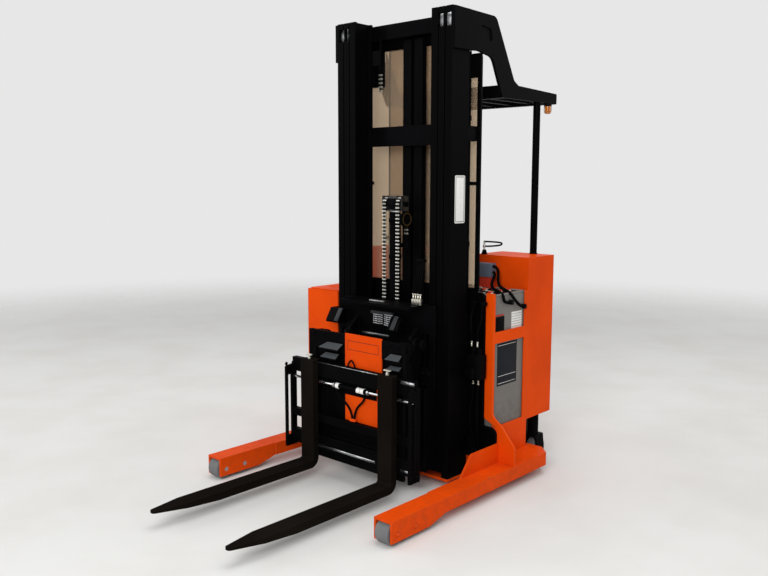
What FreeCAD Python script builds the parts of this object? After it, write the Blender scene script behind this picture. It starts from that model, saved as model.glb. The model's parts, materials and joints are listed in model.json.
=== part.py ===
import FreeCAD, Part
import math
import os
from FreeCAD import Vector

# Stand-up straddle reach truck: a three-stage mast carries a pantograph (scissor) reach unit with a
# side-shifting fork carriage.  Millimetres.  X is across the truck, the forks point along -Y, Z is up.
# Lengths below are measured from the mast's front face (y = 0) and the floor (z = 0); every piece is
# moved along Y when it is written, so that the origin lies under the middle of the truck's length.

# ---------------------------------------------------------------- overall
FORK_TIP_Y = -1322.0
TRUCK_REAR_Y = 957.0
ORIGIN_SHIFT = Vector(0, -(FORK_TIP_Y + TRUCK_REAR_Y) / 2, 0)

# ---------------------------------------------------------------- straddle legs
LEG_OUTER_X = 661.0
LEG_INNER_X = 549.0
LEG_TOP_Z = 120.0
LEG_FRONT_Y = -731.0
LEG_REAR_Y = 600.0
LEG_PLATE = 10.0
HOUSING_INNER_X = 556.0          # the wheel housing is a little narrower than the rest of the leg
HOUSING_BOTTOM_Z = 20.0
HOUSING_END_Y = -468.0
LEG_TAPER_END_Y = -350.0
LEG_BOTTOM_Z = 50.0
LEG_CHAMFER = 70.0
UPRIGHT_START_Y = -103.0         # stiffening plate that stands on the leg's inner edge
UPRIGHT_TOP_Z = 222.0
UPRIGHT_RISE = 89.0

# ---------------------------------------------------------------- load wheels
LOAD_WHEEL_R = 55.0
LOAD_WHEEL_WIDTH = 76.0
LOAD_AXLE_R = 12.0
LOAD_AXLE_YS = (-691.0, -568.0)
RUNNING_GAP = 0.05               # radial clearance of every wheel and pin bore

# ---------------------------------------------------------------- chassis and battery compartment
RAIL_DEPTH = 140.0
MOUNT_T = 16.0                   # thickness of the plate and ties that the mast is bolted to
BULKHEAD_Y = RAIL_DEPTH + 82     # front face of the orange front plate
PLATE = 12.0
BODY_RIGHT_X = 513.0
BODY_LEFT_X = -LEG_OUTER_X
BODY_TOP_Z = 1172.0
STRIP_WIDTH = 48.0
BULKHEAD_TOP_Z = 1006.0
WALL_Y = 549.0                   # front face of the operator compartment's wall
SHEET = 8.0
POD_REAR_Y = 805.0
POD_BOTTOM_Z = 272.0
CABIN_X = (-362.0, 164.0)        # the operator's space between the two side pods
CABIN_SILL_Z = 960.0
FLOOR_HALF_X = 362.0
FLOOR_Z = 190.0
FLOOR_REAR_Y = 880.0
FLOOR_SKIRT_Z = 60.0
WINDOW_BOTTOM_Z = 292.0
WINDOW_BAR_Z = (742.0, 802.0)
WINDOW_TOP_Z = 992.0
WINDOW_FRAME = 30.0
BATTERY_Y = (BULKHEAD_Y + 24, WALL_Y - 13)
BATTERY_LEFT_X = -400.0
SEAT_GAP = 0.3                   # between neighbours that belong to different bodies or rest on paint
BATTERY_BOTTOM_Z = LEG_TOP_Z + SEAT_GAP
BATTERY_TOP_Z = 985.0
PLUG_X = (195.0, 297.0)          # battery connector on the wall: grey socket above, red plug below
PLUG_DEPTH = 49.0
PLUG_Z = (990.0, 1052.0, 1128.0)
CABLE_R = 8.0
CABLE_HANG_X = BODY_RIGHT_X + 1  # the cables hang over the battery's edge in the upper window
CABLE_ROUTES = (                 # name, start on the plug, the other points, their bend radii
    ("upper", (524.0, 1112.0),
     [(335.0, 524.0, 1112.0), (352.0, 485.0, 1010.0), (CABLE_HANG_X, 366.0, 1004.0),
      (CABLE_HANG_X, 412.0, 958.0), (CABLE_HANG_X, 480.0, 912.0), (CABLE_HANG_X, 505.0, 912.0)],
     (28, 40, 24, 24, 24)),
    ("lower", (524.0, 1078.0),
     [(318.0, 524.0, 1078.0), (336.0, 434.0, 1006.0), (CABLE_HANG_X, 306.0, 1003.0),
      (CABLE_HANG_X, 312.0, 947.0), (CABLE_HANG_X, 374.0, 947.0)],
     (20, 40, 24, 24)),
)
TERMINALS = ((13.0, 12.0), (18.0, 12.0))   # length and half height, one for each cable
TERMINAL_T = 23.0
PUMP_BOX_FRONT_Y = 5.0
PUMP_BOX_TOP_Z = 955.0
PUMP_BOX_INNER_X = -412.0

# ---------------------------------------------------------------- mast
MAST_HEIGHT = 2428.0
FLANGE = 18.0
WEB = 12.0
OUTER_X = (354.0, 396.0)
MIDDLE_X = (311.0, 347.0)
INNER_X = (264.0, 304.0)
MAST_BOTTOM_Z = 45.0
STAGE_BOTTOM_Z = 72.0
ROLLER_NOTCH = 66.0
NOTCH_GAP = 30.0
ROLLER_GAP = 0.5
ROLLER_R = RAIL_DEPTH / 2 - FLANGE - ROLLER_GAP
TIE_T = 12.0
INNER_TIE_Y = RAIL_DEPTH - 15
MIDDLE_TIE_Y = RAIL_DEPTH + 6
MIDDLE_TOP_Z = (MAST_HEIGHT - 88, MAST_HEIGHT - 8)
MIDDLE_FOOT_Z = (90.0, 190.0)
OUTER_TIE_Y = BULKHEAD_Y - MOUNT_T
TOP_TIE_Z = (MAST_HEIGHT - 88, MAST_HEIGHT - 14)
MID_TIE_Z = (MAST_HEIGHT - 658, MAST_HEIGHT - 553)
OUTER_TIE_Z = ((MID_TIE_Z[0] + 15, MID_TIE_Z[1] - 15), (TOP_TIE_Z[0] + 14, TOP_TIE_Z[1] - 4))
FOOT_TIE_TOP_Z = 160.0
HOSE_GUIDE_X = ((-67.0, -12.0), (11.0, 65.0))
HOSE_GUIDE_GAP = 12.0
CHEEK_Z = (250.0, 900.0)         # plates between the outer rails and the mounting plate
LIFT_CYLINDER_X = 350.0
LIFT_CYLINDER_Y = RAIL_DEPTH + 36
LIFT_BARREL_R = 27.0
LIFT_ROD_R = 16.0
LIFT_BARREL_TOP_Z = MAST_HEIGHT - 198
LIFT_HEAD_Z = TOP_TIE_Z[0]
LIFT_ROD_BOTTOM_Z = 250.0
STAGE_LIFT = 1550.0              # how far each moving stage rises on the one outside it

FREE_CYLINDER_Y = 34.0
FREE_BARREL_R = 30.0
FREE_ROD_R = 20.0
FREE_BARREL_TOP_Z = MAST_HEIGHT - 1023
CROSSHEAD_Z = (FREE_BARREL_TOP_Z + 20, FREE_BARREL_TOP_Z + 100)
CROSSHEAD_X = 70.0
CHAIN_SHEAVE_R = 38.0
CHAIN_SHEAVE_X = 47.0
CHAIN_SHEAVE_Z = FREE_BARREL_TOP_Z + 57

# ---------------------------------------------------------------- mast carriage and reach linkage
CARRIAGE_SIDE_X = (236.0, 250.0)
CARRIAGE_Z = (110.0, 950.0)
CARRIAGE_BACK_Y = -10.0
CARRIAGE_PLATE_T = 16.0
ARM_LENGTH = 640.0               # between an arm's end pins
ARM_FOLDED_DEG = 14.0
ARM_PIVOT_Z = 750.0
ARM_PIVOT_Y = -68.0
ARM_WIDTH = 74.0
ARM_T = 20.0
PIVOT_PIN_R = 16.0
LINK_GAP = 5.0                   # side clearance between neighbouring lanes of the linkage
OUTER_ARM_X = 236.0              # inside face of the arms hinged to the mast carriage
TRACK_TOP_Z = 530.0
TRACK_ROLLER_R = 26.0
REACH_FRAME_X = 338.0
REACH_FRAME_TOP_Z = 792.0
REACH_WEB_T = 6.0                # sheet that closes the reach frame's windows
COVER_X = (-64.0, 193.0)         # orange cover let into the reach frame's front
COVER_Z = (306.0, 800.0)
SHELF_X = (-230.0, 250.0)        # shelf along the mast carriage's top
SHELF_FRONT_Y = -150.0
SHELF_T = 14.0
STOP_X = ((-400.0, -300.0), (60.0, 130.0))
STOP_Z = (800.0, 876.0)
REACH_FRAME_BOTTOM_Z = 96.0

# ---------------------------------------------------------------- fork carriage and forks
FORK_HALF_GAP = 280.0            # centre plane to the middle of a fork
FORK_WIDTH = 92.0
FORK_THICK = 40.0
FORK_TOP_Z = 92.0
FORK_FRONT_Y = -360.0
FORK_SHANK_TOP_Z = 640.0
BAR_HALF_WIDTH = 437.0
END_PLATE_T = 14.0
TOP_BAR_Z = (552.0, 628.0)
LOW_BAR_Z = (150.0, 226.0)
MID_BAR_Z = (300.0, 342.0)
BAR_T = 30.0
END_SLOT_Z = (190.0, 530.0)
SHIFT_ROD_Z = 518.0
SHIFT_ROD_R = 8.0
SHIFT_BARREL_R = 14.0
HOSE_R = 6.0
HOSE_CLAMP = (14.0, 362.0)
BAR_GAP = 0.3                    # sliding clearance between the bars and what hooks on them

# ---------------------------------------------------------------- drive wheel and caster
DRIVE_X = -495.0
DRIVE_Y = 735.0
DRIVE_WHEEL_R = 115.0
DRIVE_WHEEL_WIDTH = 90.0
CASTER_X = 466.0
CASTER_Y = 706.0
CASTER_WHEEL_R = 62.0
CASTER_WHEEL_WIDTH = 50.0
CASTER_TRAIL = 28.0
DRIVE_AXLE_R = 20.0
KNUCKLE_T = 12.0
SPINDLE_R = 30.0

# ---------------------------------------------------------------- overhead guard
GUARD_ARM_T = 16.0
GUARD_TOP_Z = MAST_HEIGHT - 4
MAST_GUARD_TOP_Z = GUARD_TOP_Z - 217     # framed panel between the mast and the operator
MAST_GUARD_HALF = 411.0
MAST_GUARD_BAR = 23.0
MAST_GUARD_STAY_Z = (1562.0, 1580.0)
MAST_GUARD_SHOULDER_Z = GUARD_TOP_Z - 319
MAST_GUARD_HEAD_Z = GUARD_TOP_Z - 128
MAST_GUARD_NECK = 280.0
PANE_T = 6.0
INNER_PANE_X = ((-231.0, -70.0), (2.0, 231.0))
ROOF_Z = (MAST_HEIGHT - 410, MAST_HEIGHT - 344)
ROOF_FRONT_Y = 392.0
ROOF_BAR = 34.0
POST_X = 393.0
POST_Y = 780.0
POST_R = 20.0
LAMP_R = 22.0
LAMP_HEIGHT = 58.0
LAMP_X = 402.0
LAMP_Y = 880.0

# ---------------------------------------------------------------- steering
STEER_WHEEL_CENTRE = Vector(-508, 684, 1228)
STEER_WHEEL_R = 112.0
STEER_RIM_R = 9.0
CONSOLE_DEPTH = 95.0
CONSOLE_Z = (780.0, 900.0, 952.0)
HANDLE_FOOT = (203.0, 568.0, BODY_TOP_Z)
HANDLE_TOP = 1243.0
HANDLE_REACH = 114.0
HANDLE_R = 6.0
PAD_Y = (664.0, 798.0)
PAD_Z = (690.0, 1110.0)
PAD_T = 62.0

written = []


# ================================================================ shape helpers
def save(name, *shapes):
    """Write one piece; several solids that never touch may share it."""
    shape = shapes[0] if len(shapes) == 1 else Part.makeCompound(list(shapes))
    shape = shape.copy()
    shape.translate(ORIGIN_SHIFT)
    shape.exportStep("parts/%s.step" % name)
    written.append(name)


def block(x, y, z):
    """A box from three (low, high) pairs."""
    corner = Vector(min(x), min(y), min(z))
    return Part.makeBox(abs(x[1] - x[0]), abs(y[1] - y[0]), abs(z[1] - z[0]), corner)


def rod(centre, axis, radius, length):
    """A cylinder whose middle is at centre."""
    direction = Vector(*axis)
    start = Vector(*centre) - direction * (length / 2)
    return Part.makeCylinder(radius, length, start, direction)


def tube(centre, axis, outer_r, inner_r, length):
    return rod(centre, axis, outer_r, length).cut(rod(centre, axis, inner_r, length * 2))


def rounded_outline(points):
    """A closed wire in the XY plane through (a, b) or (a, b, radius) corners."""
    count = len(points)
    starts, ends, middles = [], [], []
    for i, point in enumerate(points):
        here = Vector(point[0], point[1], 0)
        radius = point[2] if len(point) > 2 else 0
        if not radius:
            starts.append(here)
            ends.append(here)
            middles.append(None)
            continue
        before = Vector(points[i - 1][0], points[i - 1][1], 0) - here
        after = Vector(points[(i + 1) % count][0], points[(i + 1) % count][1], 0) - here
        before.normalize()
        after.normalize()
        half = before.getAngle(after) / 2
        tangent = radius / math.tan(half)
        bisector = (before + after).normalize()
        starts.append(here + before * tangent)
        ends.append(here + after * tangent)
        middles.append(here + bisector * (radius / math.sin(half) - radius))
    edges = []
    for i in range(count):
        if middles[i] is not None:
            edges.append(Part.Arc(starts[i], middles[i], ends[i]).toShape())
        following = starts[(i + 1) % count]
        if ends[i].distanceToPoint(following) > 1e-6:
            edges.append(Part.LineSegment(ends[i], following).toShape())
    return Part.Wire(edges)


def plate(points, plane, at, thickness):
    """A flat plate: its outline is in the named plane and it grows along the third axis from at."""
    face = Part.Face(rounded_outline(points))
    if plane == "XY":
        turn = FreeCAD.Matrix(1, 0, 0, 0, 0, 1, 0, 0, 0, 0, 1, at)
        grow = Vector(0, 0, thickness)
    elif plane == "XZ":
        turn = FreeCAD.Matrix(1, 0, 0, 0, 0, 0, -1, at, 0, 1, 0, 0)
        grow = Vector(0, thickness, 0)
    else:
        turn = FreeCAD.Matrix(0, 0, 1, at, 1, 0, 0, 0, 0, 1, 0, 0)
        grow = Vector(thickness, 0, 0)
    face = face.transformed(turn, True)
    return face.extrude(grow)


def fuse(*shapes):
    """Join touching shapes into one clean solid."""
    whole = shapes[0].fuse(list(shapes[1:]))
    return whole.removeSplitter()


def cord(points, bends, radius):
    """A round cord along straight runs joined by tangent arcs, one bend radius per inner point."""
    runs = []
    at = Vector(*points[0])
    for i, bend in enumerate(bends):
        corner = Vector(*points[i + 1])
        back = (Vector(*points[i]) - corner).normalize()
        on = (Vector(*points[i + 2]) - corner).normalize()
        half = back.getAngle(on) / 2
        tangent = bend / math.tan(half)
        start = corner + back * tangent
        end = corner + on * tangent
        bisector = (back + on).normalize()
        middle = corner + bisector * (bend / math.sin(half) - bend)
        runs += [Part.LineSegment(at, start).toShape(), Part.Arc(start, middle, end).toShape()]
        at = end
    runs.append(Part.LineSegment(at, Vector(*points[-1])).toShape())
    path = Part.Wire(runs)
    first = (Vector(*points[1]) - Vector(*points[0])).normalize()
    section = Part.Wire([Part.makeCircle(radius, Vector(*points[0]), first)])
    return path.makePipeShell([section], True, True)


def mirror_x(shape):
    return shape.mirror(Vector(0, 0, 0), Vector(1, 0, 0))


def both_sides(shape):
    return [shape, mirror_x(shape)]


# ================================================================ straddle legs and load wheels
def leg_side(x, bottom):
    """One upright side of a leg, deeper around the load wheels."""
    return plate([(LEG_FRONT_Y, bottom), (HOUSING_END_Y, bottom, 20), (LEG_TAPER_END_Y, LEG_BOTTOM_Z, 20),
                  (LEG_REAR_Y, LEG_BOTTOM_Z), (LEG_REAR_Y, LEG_TOP_Z), (LEG_FRONT_Y, LEG_TOP_Z)],
                 "YZ", x, LEG_PLATE)


def leg(upright_end_y):
    """A box beam that opens downwards at its front end, around two load wheels in line."""
    width = (LEG_INNER_X, LEG_OUTER_X)
    beam = fuse(
        leg_side(LEG_OUTER_X - LEG_PLATE, HOUSING_BOTTOM_Z),
        leg_side(HOUSING_INNER_X, HOUSING_BOTTOM_Z).common(
            block((0, 900), (LEG_FRONT_Y, LEG_TAPER_END_Y), (0, 200))),
        block((LEG_INNER_X, LEG_INNER_X + LEG_PLATE), (LEG_TAPER_END_Y, LEG_REAR_Y), (LEG_BOTTOM_Z, LEG_TOP_Z)),
        block((HOUSING_INNER_X, LEG_OUTER_X), (LEG_FRONT_Y, LEG_TAPER_END_Y), (LEG_TOP_Z - LEG_PLATE, LEG_TOP_Z)),
        block(width, (LEG_TAPER_END_Y, LEG_REAR_Y), (LEG_TOP_Z - LEG_PLATE, LEG_TOP_Z)),
        block(width, (LEG_TAPER_END_Y, LEG_REAR_Y), (LEG_BOTTOM_Z, LEG_BOTTOM_Z + LEG_PLATE)),
        block(width, (LEG_TAPER_END_Y, LEG_TAPER_END_Y + LEG_PLATE), (LEG_BOTTOM_Z, LEG_TOP_Z)),
        block(width, (LEG_REAR_Y - LEG_PLATE, LEG_REAR_Y), (LEG_BOTTOM_Z, LEG_TOP_Z)))
    corner = plate([(LEG_OUTER_X - LEG_CHAMFER, LEG_REAR_Y + 1), (LEG_OUTER_X + 1, LEG_REAR_Y + 1),
                    (LEG_OUTER_X + 1, LEG_REAR_Y - LEG_CHAMFER)], "XY", 0, 200)
    beam = beam.cut(corner)
    closing = plate([(LEG_OUTER_X - LEG_CHAMFER - LEG_PLATE, LEG_REAR_Y), (LEG_OUTER_X - LEG_CHAMFER, LEG_REAR_Y),
                     (LEG_OUTER_X, LEG_REAR_Y - LEG_CHAMFER), (LEG_OUTER_X, LEG_REAR_Y - LEG_CHAMFER - LEG_PLATE)],
                    "XY", LEG_BOTTOM_Z, LEG_TOP_Z - LEG_BOTTOM_Z)
    upright = plate([(UPRIGHT_START_Y, LEG_TOP_Z), (UPRIGHT_START_Y + UPRIGHT_RISE, UPRIGHT_TOP_Z, 15),
                     (upright_end_y, UPRIGHT_TOP_Z), (upright_end_y, LEG_TOP_Z)],
                    "YZ", LEG_INNER_X, PLATE)
    beam = fuse(beam, closing, upright)
    for y in LOAD_AXLE_YS:
        beam = beam.cut(rod((LEG_OUTER_X, y, LOAD_WHEEL_R), (1, 0, 0), LOAD_AXLE_R,
                            2.5 * (LEG_OUTER_X - HOUSING_INNER_X)))
    return beam


def load_wheel_centre_x():
    return (HOUSING_INNER_X + LEG_PLATE + LEG_OUTER_X - LEG_PLATE) / 2


def tyre(centre, radius, width, bore, edge):
    """A solid tyre on its hub, turning about X."""
    body = rod(centre, (1, 0, 0), radius, width)
    rims = [e for e in body.Edges if abs(e.Length - 2 * math.pi * radius) < 1]
    body = body.makeFillet(edge, rims)
    return body.cut(rod(centre, (1, 0, 0), bore, width * 2))


def save_legs():
    save("leg_right", leg(BULKHEAD_Y))
    save("leg_left", mirror_x(leg(PUMP_BOX_FRONT_Y)))
    axles = []
    for y in LOAD_AXLE_YS:
        length = LEG_OUTER_X - HOUSING_INNER_X - 2
        pin = rod(((LEG_OUTER_X + HOUSING_INNER_X) / 2, y, LOAD_WHEEL_R), (1, 0, 0), LOAD_AXLE_R, length)
        axles += both_sides(pin)
        wheel = tyre((load_wheel_centre_x(), y, LOAD_WHEEL_R), LOAD_WHEEL_R, LOAD_WHEEL_WIDTH,
                     LOAD_AXLE_R + RUNNING_GAP, 6)
        place = "front" if y == LOAD_AXLE_YS[0] else "rear"
        save("load_wheel_right_" + place, wheel)
        save("load_wheel_left_" + place, mirror_x(wheel))
    save("load_wheel_axles", *axles)


# ================================================================ chassis
def save_chassis():
    """Base pan between the legs, the orange front plate and the black mast mounting plate."""
    inner = LEG_INNER_X
    pan = fuse(
        block((-inner, inner), (BULKHEAD_Y, LEG_REAR_Y), (LEG_BOTTOM_Z + 20, LEG_TOP_Z)),
        block((-396, 396), (0, BULKHEAD_Y), (30, MAST_BOTTOM_Z)),
        block((-inner, inner), (OUTER_TIE_Y, BULKHEAD_Y), (30, LEG_TOP_Z)))
    save("base_frame", pan)

    strip_in = BODY_RIGHT_X - STRIP_WIDTH
    half = [(strip_in, BULKHEAD_TOP_Z), (BODY_RIGHT_X, BULKHEAD_TOP_Z), (BODY_RIGHT_X, 360, 60),
            (LEG_INNER_X + 25, 316, 20), (LEG_OUTER_X - 4, 216, 10), (LEG_OUTER_X, LEG_TOP_Z),
            (LEG_INNER_X, LEG_TOP_Z), (LEG_INNER_X, 300, 30), (strip_in, 340, 10)]
    gusset = plate(half, "XZ", BULKHEAD_Y, PLATE)

    mount_half = [(0, LEG_TOP_Z), (LEG_INNER_X, LEG_TOP_Z), (LEG_INNER_X, 302, 40), (strip_in, 302),
                  (strip_in, BULKHEAD_TOP_Z + 3, 30), (0, BULKHEAD_TOP_Z + 3)]
    mount = plate(mount_half, "XZ", OUTER_TIE_Y, MOUNT_T)
    inner_left = -PUMP_BOX_INNER_X
    mount_left = mirror_x(plate([(0, LEG_TOP_Z), (inner_left, LEG_TOP_Z), (inner_left, BULKHEAD_TOP_Z + 3),
                                 (0, BULKHEAD_TOP_Z + 3)], "XZ", OUTER_TIE_Y, MOUNT_T))
    save("mast_mounting_plate", fuse(mount, mount_left))

    frame = plate([(BULKHEAD_Y + PLATE, LEG_TOP_Z), (WALL_Y, LEG_TOP_Z), (WALL_Y, BULKHEAD_TOP_Z - 10),
                   (BULKHEAD_Y + PLATE, BULKHEAD_TOP_Z - 10)], "YZ", BODY_RIGHT_X - SHEET, SHEET)
    low = block((400, 600), (BULKHEAD_Y + PLATE + 6, WALL_Y - WINDOW_FRAME), (WINDOW_BOTTOM_Z, WINDOW_BAR_Z[0]))
    high = block((400, 600), (BULKHEAD_Y + PLATE + 6, WALL_Y - WINDOW_FRAME), (WINDOW_BAR_Z[1], WINDOW_TOP_Z + 50))
    save("battery_side_frame", fuse(gusset, frame.cut(low).cut(high)))

    side_x = BODY_RIGHT_X - SHEET - 4
    save("battery", block((BATTERY_LEFT_X, side_x), BATTERY_Y, (BATTERY_BOTTOM_Z, BATTERY_TOP_Z)))

    wall = block((BODY_LEFT_X, BODY_RIGHT_X), (WALL_Y, WALL_Y + SHEET), (LEG_TOP_Z, BODY_TOP_Z))
    look_out = block(CABIN_X, (WALL_Y - 1, WALL_Y + SHEET + 1), (CABIN_SILL_Z, BODY_TOP_Z + 1))
    save("compartment_wall", wall.cut(look_out))

    (left, right), depth, (bottom, split, top) = PLUG_X, PLUG_DEPTH, PLUG_Z
    save("battery_connector",
         block((left, right), (WALL_Y - depth, WALL_Y), (split, top)),
         block((left + 4, right - 6), (WALL_Y - depth + 5, WALL_Y), (bottom, split - SEAT_GAP)))
    lugs = []
    for (name, (y, z), rest, bends), (length, half) in zip(CABLE_ROUTES, TERMINALS):
        save("battery_cable_" + name, cord([(right, y, z)] + rest, bends, CABLE_R))
        _, end_y, end_z = rest[-1]
        lugs.append(block((side_x, side_x + TERMINAL_T), (end_y, end_y + length), (end_z - half, end_z + half)))
    save("battery_terminals", *lugs)

    outer = block((BODY_LEFT_X, PUMP_BOX_INNER_X), (PUMP_BOX_FRONT_Y, WALL_Y), (LEG_TOP_Z, PUMP_BOX_TOP_Z))
    hollow = block((BODY_LEFT_X + SHEET, PUMP_BOX_INNER_X - SHEET), (PUMP_BOX_FRONT_Y + SHEET, WALL_Y - SHEET),
                   (LEG_TOP_Z + SHEET, PUMP_BOX_TOP_Z - SHEET))
    save("pump_compartment", outer.cut(hollow))


def pod(inner_x, outer_x):
    """A hollow side pod of the operator's compartment, open below."""
    y = (WALL_Y + SHEET, POD_REAR_Y)
    outer = block((inner_x, outer_x), y, (POD_BOTTOM_Z, BODY_TOP_Z))
    hollow = block((inner_x + SHEET, outer_x - SHEET), (y[0] + SHEET, y[1] - SHEET),
                   (POD_BOTTOM_Z - 1, BODY_TOP_Z - SHEET))
    return outer.cut(hollow)


def save_compartment():
    rear = WALL_Y + SHEET
    below = (FLOOR_Z, POD_BOTTOM_Z + SHEET)
    right = fuse(pod(CABIN_X[1], BODY_RIGHT_X),
                 block((CABIN_X[1], CABIN_X[1] + SHEET), (rear, POD_REAR_Y), below),
                 block((CABIN_X[1], FLOOR_HALF_X), (POD_REAR_Y - SHEET, POD_REAR_Y), below))
    save("side_pods", right, mirror_x(pod(-CABIN_X[0], -BODY_LEFT_X)))
    skirt = SHEET
    edge = FLOOR_HALF_X
    floor = fuse(
        block((-edge, edge), (rear, FLOOR_REAR_Y), (FLOOR_Z - skirt, FLOOR_Z)),
        block((-edge, -edge + skirt), (LEG_REAR_Y, FLOOR_REAR_Y), (FLOOR_SKIRT_Z, FLOOR_Z)),
        block((edge - skirt, edge), (LEG_REAR_Y, FLOOR_REAR_Y), (FLOOR_SKIRT_Z, FLOOR_Z)),
        block((-edge, edge), (FLOOR_REAR_Y - skirt, FLOOR_REAR_Y), (FLOOR_SKIRT_Z, FLOOR_Z)))
    save("operator_floor", floor)
    low, brow, high = CONSOLE_Z
    console = plate([(rear, low), (rear + 40, low), (rear + CONSOLE_DEPTH, brow - 40, 20),
                     (rear + CONSOLE_DEPTH, brow, 12), (rear + 12, high), (rear, high)],
                    "YZ", CABIN_X[0], CABIN_X[1] - CABIN_X[0])
    save("control_console", console)
    foot_x, foot_y, foot_z = HANDLE_FOOT
    boot = Part.makeCone(16, 9, 24, Vector(*HANDLE_FOOT))
    stem = Part.makeCylinder(HANDLE_R, HANDLE_TOP - foot_z, Vector(*HANDLE_FOOT))
    reach = foot_x + HANDLE_REACH
    loop = cord([(foot_x, foot_y, HANDLE_TOP), (reach, foot_y, HANDLE_TOP), (reach + 4, foot_y, HANDLE_TOP - 13),
                 (foot_x, foot_y, HANDLE_TOP - 26)], (6, 6), HANDLE_R - 1)
    handle = fuse(boot, stem, loop, Part.makeSphere(HANDLE_R + 1, Vector(foot_x, foot_y, HANDLE_TOP)))
    pad_x = CABIN_X[0] + SEAT_GAP
    pad = block((pad_x, pad_x + PAD_T), PAD_Y, PAD_Z)
    save("backrest_pad", pad.makeFillet(18, pad.Edges))
    pedal_y = (rear + 90, rear + 210)
    pedal = plate([(pedal_y[0], FLOOR_Z), (pedal_y[1], FLOOR_Z), (pedal_y[1], FLOOR_Z + 12),
                   (pedal_y[0], FLOOR_Z + 46)], "YZ", -150, 130)
    save("operator_controls", handle, pedal)


# ================================================================ overhead guard
def save_guard():
    z_low, z_high = ROOF_Z
    top = GUARD_TOP_Z
    outline = [(0, top), (345, top - 6, 45), (520, top - 312, 30), (562, z_high + 6, 20),
               (TRUCK_REAR_Y, z_high - 8, 8), (TRUCK_REAR_Y, z_low, 8), (ROOF_FRONT_Y + 25, z_low),
               (318, top - 211, 55), (200, top - 193, 20), (RAIL_DEPTH, top - 196), (0, top - 198)]
    arm = plate(outline, "YZ", OUTER_X[1], GUARD_ARM_T)
    window = plate([(185, top - 59, 12), (305, top - 72, 25), (322, top - 156, 20), (268, top - 124, 20)],
                   "YZ", OUTER_X[1] + GUARD_ARM_T / 2, GUARD_ARM_T)
    arm = arm.cut(window)
    inner = OUTER_X[1]
    bars = [block((-inner, inner), (ROOF_FRONT_Y + 30, ROOF_FRONT_Y + 30 + ROOF_BAR), (z_low, z_high)),
            block((-inner, inner), (TRUCK_REAR_Y - 6 - ROOF_BAR, TRUCK_REAR_Y - 6), (z_low, z_high - 14))]
    slats = 5
    for i in range(slats):
        x = (i - (slats - 1) / 2) * 2 * inner / (slats + 1)
        bars.append(block((x - 14, x + 14), (ROOF_FRONT_Y + 30, TRUCK_REAR_Y - 6), (z_low + 8, z_high - 18)))
    post = Part.makeCylinder(POST_R, z_low - BODY_TOP_Z, Vector(POST_X, POST_Y, BODY_TOP_Z))
    cap = block((inner - 2 * POST_R, inner), (POST_Y - POST_R, POST_Y + POST_R), (z_low, z_high - 14))
    save("overhead_guard", fuse(*both_sides(arm), *bars, *both_sides(post), *both_sides(cap)))
    save("warning_lamp", Part.makeCylinder(LAMP_R, LAMP_HEIGHT, Vector(LAMP_X, LAMP_Y, z_low - LAMP_HEIGHT)))


def save_mast_guard():
    """A framed panel between the mast and the operator, and the two central uprights for the hoses."""
    front = MIDDLE_TIE_Y + TIE_T + HOSE_GUIDE_GAP
    z = (LEG_TOP_Z, MAST_HEIGHT - 98)
    save("mast_hose_guides", *[block(x, (front, OUTER_TIE_Y), z) for x in HOSE_GUIDE_X])
    y = BULKHEAD_Y
    deep = (y, y + PLATE)
    half, bar, neck = MAST_GUARD_HALF, MAST_GUARD_BAR, MAST_GUARD_NECK
    foot, sill = BULKHEAD_TOP_Z + 3, BULKHEAD_TOP_Z + 21
    shoulder, high, head = MAST_GUARD_SHOULDER_Z, MAST_GUARD_TOP_Z, MAST_GUARD_HEAD_Z
    frame = [block((-half, half), deep, (foot, sill)), block((-neck, neck), deep, (head, head + bar))]
    for inner, outer, z in ((half - bar, half, (foot, high)), (neck - bar, half, (shoulder, high)),
                            (neck - bar, neck, (high - bar, head + bar)), (OUTER_X[0] - 14, half, MAST_GUARD_STAY_Z)):
        frame += both_sides(block((inner, outer), deep, z))
    save("mast_guard_frame", fuse(*frame))
    pane_y = (y + PLATE, y + PLATE + PANE_T)
    wide = fuse(block((bar - half, half - bar), pane_y, (sill, shoulder + 20)),
                block((bar - neck, neck - bar), pane_y, (sill, head)))
    inner_y = (pane_y[1] + SEAT_GAP, pane_y[1] + SEAT_GAP + PANE_T)
    narrow = [block(x, inner_y, (sill, head)) for x in INNER_PANE_X]
    save("mast_guard_panel", wide, *narrow)


# ================================================================ mast
def rail(x, bottom):
    """An upright I-beam rail with its flanges at front and back."""
    low, high = x
    middle = (low + high) / 2
    return fuse(
        block(x, (0, FLANGE), (bottom, MAST_HEIGHT)),
        block(x, (RAIL_DEPTH - FLANGE, RAIL_DEPTH), (bottom, MAST_HEIGHT)),
        block((middle - WEB / 2, middle + WEB / 2), (0, RAIL_DEPTH), (bottom, MAST_HEIGHT)))


def channel(x, bottom):
    """The outer rail: a channel whose web is on the outside."""
    return fuse(
        block(x, (0, FLANGE), (bottom, MAST_HEIGHT)),
        block(x, (RAIL_DEPTH - FLANGE, RAIL_DEPTH), (bottom, MAST_HEIGHT)),
        block((x[1] - WEB, x[1]), (0, RAIL_DEPTH), (bottom, MAST_HEIGHT)))


def notched(beam, x):
    """Cut the front flange clear of the guide roller at the rail's top."""
    z = (MAST_HEIGHT - NOTCH_GAP - ROLLER_NOTCH, MAST_HEIGHT - NOTCH_GAP)
    return beam.cut(block((x[0] - 1, x[1] - 10), (-1, FLANGE + 1), z))


def tie(half_width, y, z):
    return block((-half_width, half_width), (y, y + TIE_T), z)


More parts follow.
